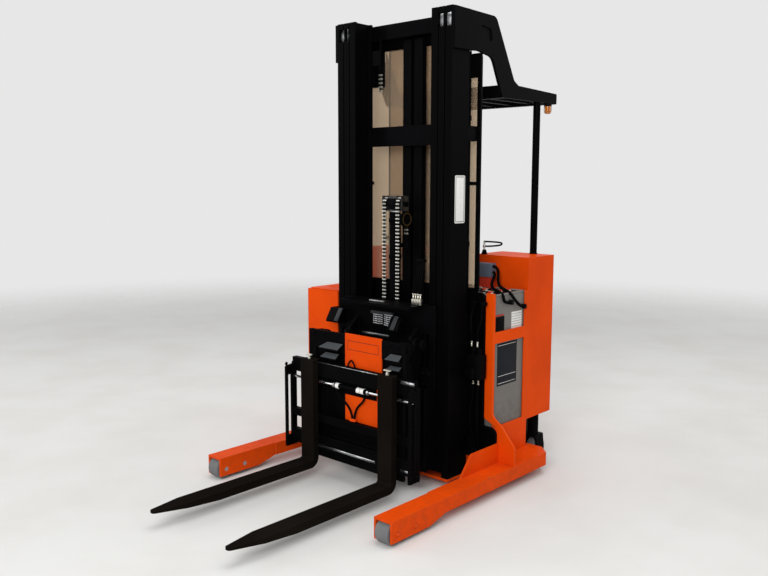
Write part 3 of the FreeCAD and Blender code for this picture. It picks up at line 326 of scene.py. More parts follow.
def sweep(profile: Array, path: Array, up: Point, scale: Union[float, Array] = 1.0) -> Shape:
    """A profile carried along a path: point j of ring i is path i + side * a j + upper * b j.

    Args:
        profile: (M, 2) points.
        path: (N, 3) points.
        up: a direction that the path never takes.
        scale: the profile's size, one for all or one for each point.
    Returns:
        The closed surface.
    """
    path = np.asarray(path, float)
    side, upper = frames(path, up)
    scale = np.broadcast_to(scale, len(path))[:, None, None]
    rings = path[:, None] + scale * (side[:, None] * profile[None, :, :1] + upper[:, None] * profile[None, :, 1:])
    return loft(rings)


def curve_through(points: Sequence[Point], steps: int = 8) -> Array:
    """A smooth path through points: a Catmull-Rom cubic between each pair.

    Args:
        points: what it passes through.
        steps: points on each stretch.
    Returns:
        (N, 3) points.
    """
    p = np.asarray(points, float)
    p = np.vstack([2 * p[0] - p[1], p, 2 * p[-1] - p[-2]])
    t = np.linspace(0, 1, steps, endpoint=False)[None, :, None]
    a, b, c, d = (p[k:len(p) - 3 + k][:, None] for k in range(4))
    path = 0.5 * (2 * b + (c - a) * t + (2 * a - 5 * b + 4 * c - d) * t ** 2 + (3 * b - a - 3 * c + d) * t ** 3)
    return np.vstack([path.reshape(-1, 3), p[-2]])


def pipe(points: Sequence[Point], radius: float, up: Point = (0.31, 0.17, 0.93), sides: int = 10,
         steps: int = 8) -> Shape:
    """A round pipe or fixed hose through points."""
    return sweep(circle(radius, sides), curve_through(points, steps), up)


def bolt(centre: Point, axis: str, size: float, sign: float = 1.0) -> Shape:
    """A hexagon head on its washer, standing on a face.

    Args:
        centre: where the bolt's line meets the face.
        axis: its direction.
        size: half the head's width across corners.
        sign: 1 if the head points along the axis, -1 if against it.
    Returns:
        The head and washer.
    """
    head = lathe([(size * 0.98, 0), (size, size * 0.1), (size, size * 0.5), (size * 0.8, size * 0.65)], axis, 6)
    head = head.moved(AXES[axis] @ [0, 0, size * 0.18])
    head += lathe([(size * 1.35, 0), (size * 1.35, size * 0.18)], axis, 16)
    return head.turned(sign * np.eye(3)).moved(centre)


def weld(points: Sequence[Point], size: float = 0.004, up: Point = (0.2, 0.3, 0.93)) -> Shape:
    """A weld bead: a flattened round profile whose size ripples along the run.

    Args:
        points: the bead's line.
        size: its radius.
        up: a direction that the line never takes.
    Returns:
        The bead.
    """
    path = curve_through(points, max(4, int(90 / max(1, len(points) - 1))))
    steps = np.arange(len(path))
    return sweep(circle(size, 7), path, up, 1 + 0.18 * np.abs(np.sin(steps * 1.3)) - 0.5
        * (steps % (len(path) - 1) == 0))


# ---- shader nodes
def linear(hex_colour: str) -> tuple[float, float, float, float]:
    """A colour written as rrggbb, in the scene's linear values.

    Args:
        hex_colour: six digits.
    Returns:
        Red, green, blue and an alpha of 1.
    """
    part = np.array([int(hex_colour[k:k + 2], 16) for k in (0, 2, 4)]) / 255
    value = np.where(part <= 0.04045, part / 12.92, ((part + 0.055) / 1.055) ** 2.4)
    return (float(value[0]), float(value[1]), float(value[2]), 1.0)


class Sock:
    """A shader socket that can stand in an expression."""

    def __init__(self, nodes: "Nodes", socket: bpy.types.NodeSocket) -> None:
        """Wraps an output socket."""
        self.nodes, self.socket = nodes, socket

    def maths(self, operation: str, *values: "Value") -> "Sock":
        """A Math node on this socket and the given values."""
        return self.nodes.add("ShaderNodeMath", {"operation": operation}, dict(enumerate((self, *values))))

    def __add__(self, other: "Value") -> "Sock":
        """Sum."""
        return self.maths("ADD", other)

    def __sub__(self, other: "Value") -> "Sock":
        """Difference."""
        return self.maths("SUBTRACT", other)

    def __rsub__(self, other: float) -> "Sock":
        """Difference from a number."""
        return self.nodes.add("ShaderNodeMath", {"operation": "SUBTRACT"}, {0: other, 1: self})

    def __mul__(self, other: "Value") -> "Sock":
        """Product."""
        return self.maths("MULTIPLY", other)

    __radd__, __rmul__ = __add__, __mul__

    def larger(self, other: "Value") -> "Sock":
        """The larger of two values."""
        return self.maths("MAXIMUM", other)

    def step(self, low: float, high: float) -> "Sock":
        """0 below low, 1 above high, and smooth between; the other way round if high is the smaller."""
        return self.nodes.add("ShaderNodeMapRange", {"interpolation_type": "SMOOTHSTEP"},
            {"Value": self, "From Min": low, "From Max": high})


Value = Union[Sock, float, int]


class Nodes:
    """Builds the nodes of one material or world."""

    def __init__(self, owner: Union[str, bpy.types.World]) -> None:
        """Starts an empty node tree, in a new material if a name is given.

        Args:
            owner: a world, or the name of a new material.
        """
        self.owner = bpy.data.materials.new(owner) if isinstance(owner, str) else owner
        self.owner.use_nodes = True
        self.tree = self.owner.node_tree
        self.tree.nodes.clear()

    def add(self, kind: str, settings: Optional[dict] = None, inputs: Optional[dict] = None,
            out: Union[int, str, None] = 0) -> Optional[Sock]:
        """Adds a node.

        Args:
            kind: its type.
            settings: its properties, set first.
            inputs: values or sockets by input name or number.
            out: which output is returned; None for a node that has none.
        Returns:
            The chosen output.
        """
        node = self.tree.nodes.new(kind)
        for key, value in (settings or {}).items():
            setattr(node, key, value)
        for key, value in (inputs or {}).items():
            if isinstance(value, Sock):
                self.tree.links.new(value.socket, node.inputs[key])
            else:
                node.inputs[key].default_value = value
        return None if out is None else Sock(self, node.outputs[out])

    def place(self, scale: Point = (1, 1, 1)) -> Sock:
        """Object coordinates, stretched.

        Args:
            scale: factor along each axis.
        Returns:
            The stretched place.
        """
        here = self.add("ShaderNodeTexCoord", out="Object")
        if tuple(scale) == (1, 1, 1):
            return here
        return self.add("ShaderNodeMapping", None, {"Vector": here, "Scale": scale})

    def along(self, axis: str) -> Sock:
        """One coordinate of the place, in metres."""
        return self.add("ShaderNodeSeparateXYZ", None, {0: self.place()}, axis.upper())

    def noise(self, scale: float, detail: float = 3, rough: float = 0.55, where: Optional[Sock] = None) -> Sock:
        """Soft noise from 0 to 1."""
        return self.add("ShaderNodeTexNoise", None,
            {"Vector": where or self.place(), "Scale": scale, "Detail": detail, "Roughness": rough})

    def cells(self, scale: float) -> Sock:
        """Distance to the borders in a pattern of cells."""
        return self.add("ShaderNodeTexVoronoi", {"feature": "DISTANCE_TO_EDGE"},
            {"Vector": self.place(), "Scale": scale}, "Distance")

    def mix(self, factor: Value, one: Union[Sock, str], two: Union[Sock, str]) -> Sock:
        """A colour between two, each a socket or written as rrggbb."""
        one, two = (linear(colour) if isinstance(colour, str) else colour for colour in (one, two))
        return self.add("ShaderNodeMix", {"data_type": "RGBA"}, {0: factor, 6: one, 7: two}, 2)

    def edges(self, radius: float) -> Sock:
        """How much the surface turns within a radius: 0 on a flat, rising at an outer or inner edge.

        Args:
            radius: in metres.
        Returns:
            The measure.
        """
        soft = self.add("ShaderNodeBevel", {"samples": 4}, {"Radius": radius})
        face = self.add("ShaderNodeNewGeometry", out="Normal")
        dot = self.add("ShaderNodeVectorMath", {"operation": "DOT_PRODUCT"}, {0: soft, 1: face}, "Value")
        return 1.0 - dot

    def bump(self, height: Sock, depth: float, normal: Optional[Sock] = None) -> Sock:
        """A normal bumped by height times depth in metres.

        Args:
            height: from 0 to about 1.
            depth: what a height of 1 stands for.
            normal: what is bumped, or None for the face.
        Returns:
            The normal.
        """
        inputs = {"Height": height, "Distance": depth, "Strength": 1.0}
        if normal:
            inputs["Normal"] = normal
        return self.add("ShaderNodeBump", None, inputs)

    def round_edges(self, radius: float) -> Sock:
        """A normal that rounds off sharp edges."""
        return self.add("ShaderNodeBevel", {"samples": 4}, {"Radius": radius})

    def finish(self, **inputs: Union[Sock, float, tuple]) -> bpy.types.Material:
        """Ends a material's tree in a Principled shader.

        Args:
            inputs: the shader's inputs; an underscore in a name stands for a space.
        Returns:
            The material.
        """
        shader = self.add("ShaderNodeBsdfPrincipled", None, {k.replace("_", " "): v for k, v in inputs.items()})
        self.add("ShaderNodeOutputMaterial", None, {"Surface": shader}, None)
        return self.owner


# ---- finishes
DULL_IOR = 1.18


@dataclass(frozen=True)
class Paint:
    """Enamel on steel: orange peel, faded patches, grime near the floor, and paler edges: worn paint, and in the
    orange enamel also a painted highlight along the edges.
    """

    name: str
    colour: str
    faded: str
    bare: str
    grime: str
    rough: float = 0.32
    coat: float = 0.25
    wear: float = 0.5
    dirt: float = 0.5
    low: float = 0.16
    peel: float = 0.00004
    streak: Point = (1, 1, 1)
    gloss: float = 0.3

    def build(self) -> bpy.types.Material:
        """Builds the shader.

        Returns:
            The material.
        """
        n = Nodes(self.name)
        broad = n.noise(3.1, 4)
        mottle = n.noise(26, 5, 0.65, n.place(self.streak))
        specks = n.noise(160, 2)
        edge = n.edges(0.003)
        # Edge mask: chipped paint, and in the orange enamel also a painted highlight, its pale edge colour standing
        # in for light caught by the edges
        chips_and_edge_light = (edge * 2.2 + mottle * 0.35 + specks * 0.22 - 0.34) * self.wear
        edge_wear_and_highlight = chips_and_edge_light.step(0.16, 0.3)
        dust = n.along("z").step(self.low * 1.6, 0.0) * mottle.step(0.3, 0.72) * self.dirt
        scuffs = n.noise(9, 6, 0.7, n.place((1, 1, 5))).step(0.6, 0.78) * 0.35 * self.dirt
        film = broad.step(0.42, 0.75) * 0.22 * self.dirt
        colour = n.mix(broad.step(0.3, 0.7), self.colour, self.faded)
        colour = n.mix(dust.larger(scuffs).larger(film), colour, self.grime)
        colour = n.mix(edge_wear_and_highlight, colour, self.bare)
        rough = mottle * 0.16 + broad * 0.08 + self.rough - 0.12 + dust * 0.25 + edge_wear_and_highlight * 0.12
        height = specks * 0.5 + n.noise(420, 1) * 0.5 - edge_wear_and_highlight * 2.0
        return n.finish(Base_Color=colour, Roughness=rough, Coat_Weight=self.coat, Coat_Roughness=0.12,
            Specular_IOR_Level=self.gloss, IOR=DULL_IOR, Normal=n.bump(height, self.peel, n.round_edges(0.0025)))


@dataclass(frozen=True)
class Split:
    """Two finishes in one piece, which meet at a height: the lower colour's metal share is given."""

    name: str
    upper: str
    lower: str
    height: float
    metal: float = 0.0
    rough: tuple[float, float] = (0.45, 0.4)
    dust: str = "8A857C"

    def build(self) -> bpy.types.Material:
        """Builds the shader.

        Returns:
            The material.
        """
        n = Nodes(self.name)
        low = n.along("z").step(self.height + 0.0005, self.height - 0.0005)
        blot = n.noise(30, 4, 0.65)
        film = blot.step(0.45, 0.8) * 0.25
        colour = n.mix(film, n.mix(low, self.upper, self.lower), self.dust)
        rough = low * (self.rough[1] - self.rough[0]) + self.rough[0] + blot * 0.12 - 0.06
        return n.finish(Base_Color=colour, Metallic=low * self.metal, Roughness=rough, Specular_IOR_Level=0.35,
            Normal=n.bump(n.noise(500, 2), 0.00004, n.round_edges(0.002)))


@dataclass(frozen=True)
class Metal:
    """Bare metal: fine machining marks along an axis, handling marks, and a film of oil or rust."""

    name: str
    colour: str
    stain: str
    rough: float = 0.25
    stained: float = 0.4
    grain: Point = (1, 1, 1)
    marks: float = 0.00002

    def build(self) -> bpy.types.Material:
        """Builds the shader.

        Returns:
            The material.
        """
        n = Nodes(self.name)
        fine = n.noise(220, 3, 0.6, n.place(self.grain))
        blot = n.noise(14, 5, 0.65)
        film = blot.step(0.45, 0.72) * self.stained
        colour = n.mix(film, self.colour, self.stain)
        rough = fine * 0.18 + film * 0.3 + self.rough - 0.08
        return n.finish(Base_Color=colour, Metallic=1.0 - film * 0.6, Roughness=rough,
            Normal=n.bump(fine + blot * 0.4, self.marks, n.round_edges(0.0015)))


@dataclass(frozen=True)
class Rail:
    """Mast steel: black paint, with the running faces and edges rubbed by rollers and painted a lighter blue-grey
    that is partly a painted sheen, and wiped with grease.
    """

    name: str
    colour: str
    rubbed_and_sheen: str
    grease: str

    def build(self) -> bpy.types.Material:
        """Builds the shader.

        Returns:
            The material.
        """
        n = Nodes(self.name)
        streaks = n.noise(70, 4, 0.6, n.place((1, 1, 0.035)))
        patches = n.noise(5, 4, 0.6, n.place((1, 1, 0.4)))
        specks = n.noise(190, 2)
        edge = n.edges(0.003)
        # Rubbed streaks and edges: real roller wear, and partly a painted blue-grey sheen
        rub_and_sheen = (streaks * 0.7 + patches * 0.4 + edge * 1.2 - 0.3).step(0.42, 0.72) * 0.6
        smear = patches.step(0.5, 0.75) * streaks.step(0.35, 0.7)
        colour = n.mix(rub_and_sheen, self.colour, self.rubbed_and_sheen)
        colour = n.mix(smear * 0.5, colour, self.grease)
        rough = streaks * 0.2 + 0.22 + specks * 0.06
        return n.finish(Base_Color=colour, Metallic=rub_and_sheen * 0.2, Roughness=rough + 0.08, Coat_Weight=0.005,
            Coat_Roughness=0.2, Specular_IOR_Level=0.05, IOR=DULL_IOR,
            Normal=n.bump(streaks * 0.6 + specks * 0.3, 0.00005, n.round_edges(0.0025)))


@dataclass(frozen=True)
class Moulding:
    """Moulded plastic, urethane or rubber: fine texture, dust in the hollows and scuffed edges."""

    name: str
    colour: str
    dust: str
    rough: float = 0.55
    dusty: float = 0.4
    texture: float = 500
    depth: float = 0.00005
    edge: float = 0.8
    gloss: float = 0.2

    def build(self) -> bpy.types.Material:
        """Builds the shader.

        Returns:
            The material.
        """
        n = Nodes(self.name)
        grain = n.noise(self.texture, 2, 0.6)
        broad = n.noise(11, 5, 0.65)
        scuff = n.noise(45, 4, 0.7, n.place((1, 1, 3))).step(0.55, 0.78)
        film = broad.step(0.38, 0.75) * 0.6 + scuff * 0.4
        if self.edge:
            film = film + n.edges(0.0025) * self.edge
        film = film * self.dusty
        colour = n.mix(film, self.colour, self.dust)
        return n.finish(Base_Color=colour, Roughness=grain * 0.1 + broad * 0.12 + self.rough - 0.1,
            Specular_IOR_Level=self.gloss, IOR=DULL_IOR,
            Normal=n.bump(grain + scuff * 0.5, self.depth, n.round_edges(0.002)))


@dataclass(frozen=True)
class Vinyl:
    """Leathercloth: pebbled grain from cells, with a soft sheen and creases."""

    name: str
    colour: str
    crease: str

    def build(self) -> bpy.types.Material:
        """Builds the shader.

        Returns:
            The material.
        """
        n = Nodes(self.name)
        pebble = n.cells(420).step(0.0, 0.28)
        fold = n.noise(18, 4, 0.6).step(0.55, 0.7)
        colour = n.mix(fold * 0.4 + pebble * 0.25, self.crease, self.colour)
        return n.finish(Base_Color=colour, Roughness=0.62 - pebble * 0.16 + n.noise(40) * 0.06,
            Normal=n.bump(pebble + n.noise(60) * 0.5, 0.0002))


@dataclass(frozen=True)
class Acrylic:
    """A tinted sheet that lets a little light through, hazy with dust."""

    name: str
    colour: str
    haze: str

    def build(self) -> bpy.types.Material:
        """Builds the shader.

        Returns:
            The material.
        """
        n = Nodes(self.name)
        haze = n.noise(2.5, 3, 0.5, n.place((1, 1, 0.4)))
        colour = n.mix(haze.step(0.3, 0.75), self.colour, self.haze)
        return n.finish(Base_Color=colour, Roughness=haze * 0.04 + 0.03, Specular_IOR_Level=0.1,
            Transmission_Weight=0.68, IOR=1.05)


@dataclass(frozen=True)
class Lens:
    """A coloured lens with a glow of its own colour in its depth."""

    name: str
    colour: str
    deep: str

    def build(self) -> bpy.types.Material:
        """Builds the shader.

        Returns:
            The material.
        """
        n = Nodes(self.name)
        cells = n.cells(160).step(0.0, 0.2)
        colour = n.mix(cells, self.deep, self.colour)
        return n.finish(Base_Color=colour, Roughness=0.14 + n.noise(30) * 0.08, Coat_Weight=0.5,
            Normal=n.bump(cells, 0.0003))


@dataclass(frozen=True)
class Decal:
    """A printed vinyl label with nothing on it but ruled lines, a little soiled.

    Lines repeat every pitch metres down the label and are as thick as rule; a pitch of 0 leaves it plain.
    """

    name: str
    paper: str
    ink: str
    pitch: float = 0.0
    rule: float = 0.0
    rough: float = 0.35

    def build(self) -> bpy.types.Material:
        """Builds the shader.

        Returns:
            The material.
        """
        n = Nodes(self.name)
        soil = n.noise(60, 4, 0.65).step(0.5, 0.8) * 0.25
        colour = n.mix(soil, self.paper, self.ink)
        if self.pitch:
            phase = n.along("z").maths("FLOORED_MODULO", self.pitch)
            line = phase.step(self.rule * 1.2, self.rule * 0.8)
            colour = n.mix(line * 0.8, colour, self.ink)
        return n.finish(Base_Color=colour, Roughness=n.noise(90) * 0.15 + self.rough, Specular_IOR_Level=0.1,
            IOR=DULL_IOR, Normal=n.bump(n.noise(200), 0.00003, n.round_edges(0.0004)))


class Finish(Enum):
    """The truck's finishes, each with the slot that it stands for; a slot's first one dresses its CAD nodes."""

    # the pale edge colour CC7A50 is partly worn primer and partly a painted highlight along the edges
    ORANGE = ("orange_paint", Paint("orange_enamel", "E44C08", "D84407", "CC7A50", "7E3C20", 0.38, 0.03, 0.3, 0.35,
        gloss=0.1))
    BLACK = ("black_paint", Paint("black_enamel", "050506", "08080A", "242528", "141210", 0.42, 0.01, 0.4, 0.35, 0.2,
        gloss=0.05))
    FORK = ("black_paint", Paint("fork_enamel", "120F0D", "171411", "2C2824", "221D18", 0.56, 0.0, 0.5, 0.5, 0.06,
        0.00006, (1, 0.2, 1), 0.006))
    GREY = ("grey_paint", Paint("battery_enamel", "75736F", "817E79", "55585A", "4A4640", 0.4, 0.03, 0.6, 0.7, 0.4,
        gloss=0.15))
    # the rail's blue-grey rubbed colour is partly a painted sheen
    RAIL = ("rail_steel", Rail("mast_steel", "060607", "1A1C20", "0A0908"))
    CHROME = ("rod_chrome", Metal("bright_chrome", "D8DADC", "8A8880", 0.08, 0.25, (40, 40, 1), 0.000004))
    STEEL = ("bare_steel", Metal("bright_steel", "A9ABAD", "5C564E", 0.28, 0.5))
    ROLLER = ("roller_steel", Metal("turned_steel", "E2E4E6", "6A665E", 0.42, 0.3, (1, 1, 1), 0.00001))
    ZINC = ("roller_steel", Metal("zinc_plate", "C9C6BA", "8B8066", 0.34, 0.4))
    CHAIN = ("roller_steel", Metal("oiled_chain", "34332F", "14120F", 0.4, 0.6))
    CHAIN_PIN = ("roller_steel", Metal("chain_pin", "E6E5DE", "6C675E", 0.42, 0.35))
    WHEEL = ("wheel_polyurethane", Moulding("load_wheel_urethane", "6E6F71", "948E86", 0.5, 0.45, 260, 0.00008))
    BRASS = ("roller_steel", Metal("dulled_brass", "7A6434", "2A251C", 0.36, 0.6))
    BRIGHT_CHAIN = ("roller_steel", Metal("plated_chain", "E4E6EA", "8E8A84", 0.42, 0.45))
    HEAD = ("black_paint", Split("crosshead_and_stem", "0C0D0E", "C4C6C8", 1.4245, 1.0, (0.35, 0.12)))
    DRIVE = ("drive_rubber", Moulding("tyre_rubber", "1B1A19", "5B5349", 0.62, 0.5, 300, 0.00012))
    PLASTIC = ("black_plastic", Moulding("black_moulding", "0C0C0D", "35322F", 0.48, 0.18, 700, 0.00008, 0.5, 0.12))
    SOCKET = ("grey_plastic", Moulding("grey_moulding", "7C8B9C", "9A958C", 0.45, 0.3, 600, 0.00006))
    CONNECTOR = ("grey_plastic", Split("connector_halves", "5F6E82", "CE3A24", 1.0515))
    PLUG = ("grey_plastic", Moulding("red_moulding", "C22A12", "8A4A38", 0.4, 0.25, 600, 0.00006))
    RUBBER = ("black_rubber", Moulding("hose_rubber", "0A0A0B", "1E1B18", 0.66, 0.25, 420, 0.00008, 0, 0.012))
    MAT = ("black_rubber", Moulding("floor_rubber", "161616", "6A6259", 0.66, 0.6, 350, 0.0001))
    TYRE_WALL = ("black_plastic", Moulding("hub_grey", "4C4C4E", "7A746B", 0.5, 0.4, 300, 0.00008))
    PAD = ("pad_vinyl", Vinyl("backrest_vinyl", "16161A", "0A0A0B"))
    PANE = ("tinted_screen", Acrylic("tinted_acrylic", "C0AA90", "C6B29A"))
    PANE_EDGE = ("tinted_screen", Moulding("acrylic_edge", "1A1008", "2A1C10", 0.3, 0.2, 200, 0.00004))
    AMBER = ("amber_lens", Lens("amber_glass", "E8860C", "7A3A04"))
    WHITE_LABEL = ("black_plastic", Decal("white_label", "E9E8E4", "8A877E"))
    RULED_LABEL = ("black_plastic", Decal("ruled_label", "E3E2DD", "34343A", 0.0135, 0.0022))
    DARK_LABEL = ("black_plastic", Decal("dark_label", "232529", "4A4E55"))
    WHITE_TAPE = ("black_plastic", Decal("white_tape", "F2F1EE", "B8B4AA"))
    # grey paint; on the reach frame's wedge slopes it is a painted highlight
    GREY_PAINT = ("black_paint", Paint("grey_and_painted_highlight", "3A3D3F", "44474A", "6E7274", "2A2723", 0.4, 0.02, 0.6, 0.5,
        gloss=0.12))

    @property
    def slot(self) -> str:
        """The record's slot."""
        return self.value[0]

    @property
    def material(self) -> bpy.types.Material:
        """The material, built once."""
        found = bpy.data.materials.get(self.value[1].name)
        return found or self.value[1].build()


def place_piece(name: str, shape: Shape, finish: Finish, body: Optional[str], replaces: Sequence[str] = (),
                smooth: float = 38.0) -> bpy.types.Object:
    """Makes a surface a piece of the truck.

    Args:
        name: the piece's name.
        shape: its surface, with depths counted from the mast's front face.
        finish: its finish.
        body: the body that it rides on, or None for one on no body.
        replaces: CAD nodes that it stands for.
        smooth: edges sharper than this many degrees stay sharp.
    Returns:
        The object.
    """
    shape = shape.moved((0, MAST_Y, 0))
    mesh = bpy.data.meshes.new(name)
    mesh.from_pydata(shape.verts, [], [face for group in shape.faces for face in group.tolist()])
    mesh.validate()
    mesh.shade_smooth()
    mesh.set_sharp_from_angle(angle=math.radians(smooth))
    mesh.materials.append(finish.material)
    piece = bpy.data.objects.new(name, mesh)
    bpy.context.scene.collection.objects.link(piece)
    if body:
        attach(piece, body)
    if replaces:
        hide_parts(*replaces)
    LOG.info("%s on %s: %d faces", name, body, len(mesh.polygons))
    return piece


# ---- repeated hardware
def oblong(length: float, height: float) -> Array:
    """A bar's outline with round ends, its length along the second axis."""
    return round_corners(height, length, height * 0.499, 2)


def leaf_chain(pins: Array, height: float = 0.0155, plate: float = 0.0021) -> tuple[Shape, Shape]:
    """A leaf chain: link k spans pins k and k + 1, with three plates on even links and two on odd ones.

    Args:
        pins: (N, 3) places of the pins, whose axes lie along X.
        height: of a plate across the run.
        plate: its thickness.
    Returns:
        The plates, and the pins.
    """
    pins = np.asarray(pins, float)
    run = np.diff(pins, axis=0)
    pitch = np.linalg.norm(run, axis=1)[:, None]
    y, z = run[:, 1] / pitch[:, 0], run[:, 2] / pitch[:, 0]
    one, none = np.ones(len(run)), np.zeros(len(run))
    turns = np.stack([one, none, none, none, z, y, none, -y, z], 1).reshape(-1, 3, 3)
    middle = pins[:-1] + run / 2
    outline = oblong(pitch.mean() + height * 0.55, height * 0.64)
    gap = plate * 1.15
    total = []
    for parity, shifts in ((0, (-2, 0, 2)), (1, (-1, 1))):
        for shift in shifts:
            link = prism(outline, shift * gap - plate / 2, shift * gap + plate / 2, "x", 0.0003, 1)
            total.append(link.copies(middle[parity::2], turns[parity::2]))
    pin = lathe([(height * 0.26, -4.6 * gap), (height * 0.33, -4.3 * gap), (height * 0.33, 4.3 * gap),
        (height * 0.26, 4.6 * gap)], "x", 10)
    return joined(total), pin.copies(pins)


def place_chain(name: str, runs: Sequence[tuple[Shape, Shape]], body: Optional[str],
                pins: Optional[Finish] = None) -> list[bpy.types.Object]:
    """Makes chains two pieces, their plates and their pins.

    Args:
        name: what both names begin with.
        runs: the chains.
        body: the body that they ride on, or None.
        pins: the pins' finish.
    Returns:
        The two pieces.
    """
    return [place_piece(name + "_plates", joined([run[0] for run in runs]), Finish.CHAIN, body),
        place_piece(name + "_pins", joined([run[1] for run in runs]), pins or Finish.CHAIN_PIN, body)]


def straight(start: Point, end: Point, pitch: float) -> Array:
    """Places along a line, about a pitch apart.

    Args:
        start: the first place.
        end: the last.
        pitch: the distance wanted.
    Returns:
        (N, 3) places.
    """
    start, end = np.asarray(start, float), np.asarray(end, float)
    count = max(2, round(float(np.linalg.norm(end - start)) / pitch) + 1)
    return start + np.linspace(0, 1, count)[:, None] * (end - start)


def fitting(centre: Point, axis: str, size: float, sign: float = 1.0) -> Shape:
    """A hose end: a ferrule, a swivel nut and the neck between them.

    Args:
        centre: where its foot stands.
        axis: its direction.
        size: the nut's radius.
        sign: 1 if it points along the axis, -1 if against it.
    Returns:
        The fitting.
    """
    body = lathe([(size * 0.62, 0), (size * 0.72, size * 0.2), (size * 0.72, size * 2.4), (size * 0.5, size * 2.7),
        (size * 0.5, size * 3.2)], axis, 14)
    body += lathe([(size * 0.9, size * 3.1), (size, size * 3.25), (size, size * 4.3), (size * 0.86, size * 4.5)],
        axis, 6)
    return body.turned(sign * np.eye(3)).moved(centre)


def bolts(places: Iterable[Point], axis: str, size: float, sign: float = 1.0) -> Shape:
    """One bolt at each place."""
    return bolt((0, 0, 0), axis, size, sign).copies(np.array(list(places), float))


def slats(low: Point, high: Point, count: int, along: str, share: float = 0.5, edge: float = 0.001) -> Shape:
    """A row of equal bars that fills a box, each taking a share of its pitch.

    Args:
        low: the box's lowest corner.
        high: its highest.
        count: number of bars.
        along: the axis that they follow one another on.
        share: of the pitch that a bar fills.
        edge: radius of their edges.
    Returns:
        The bars.
    """
    low, high = np.array(low, float), np.array(high, float)
    axis = "xyz".index(along)
    pitch = (high[axis] - low[axis]) / count
    top = high.copy()
    top[axis] = low[axis] + pitch * share
    offsets = np.zeros((count, 3))
    offsets[:, axis] = np.arange(count) * pitch
    return box(low, top, edge).copies(offsets)


class Assembly:
    """A group of pieces that belong together, most of them on one body."""

    body: ClassVar[str] = "chassis"

    def build(self) -> None:
        """Makes the pieces."""
        raise NotImplementedError

    def add(self, name: str, shape: Union[Shape, list[Shape]], finish: Finish = Finish.BLACK,
            body: Optional[str] = None, replaces: Sequence[str] = (), smooth: float = 38.0) -> bpy.types.Object:
        """Makes a piece of one or more surfaces, on the group's own body if no other is given."""
        shape = joined(shape) if isinstance(shape, list) else shape
        return place_piece(name, shape, finish, body or self.body, replaces, smooth)


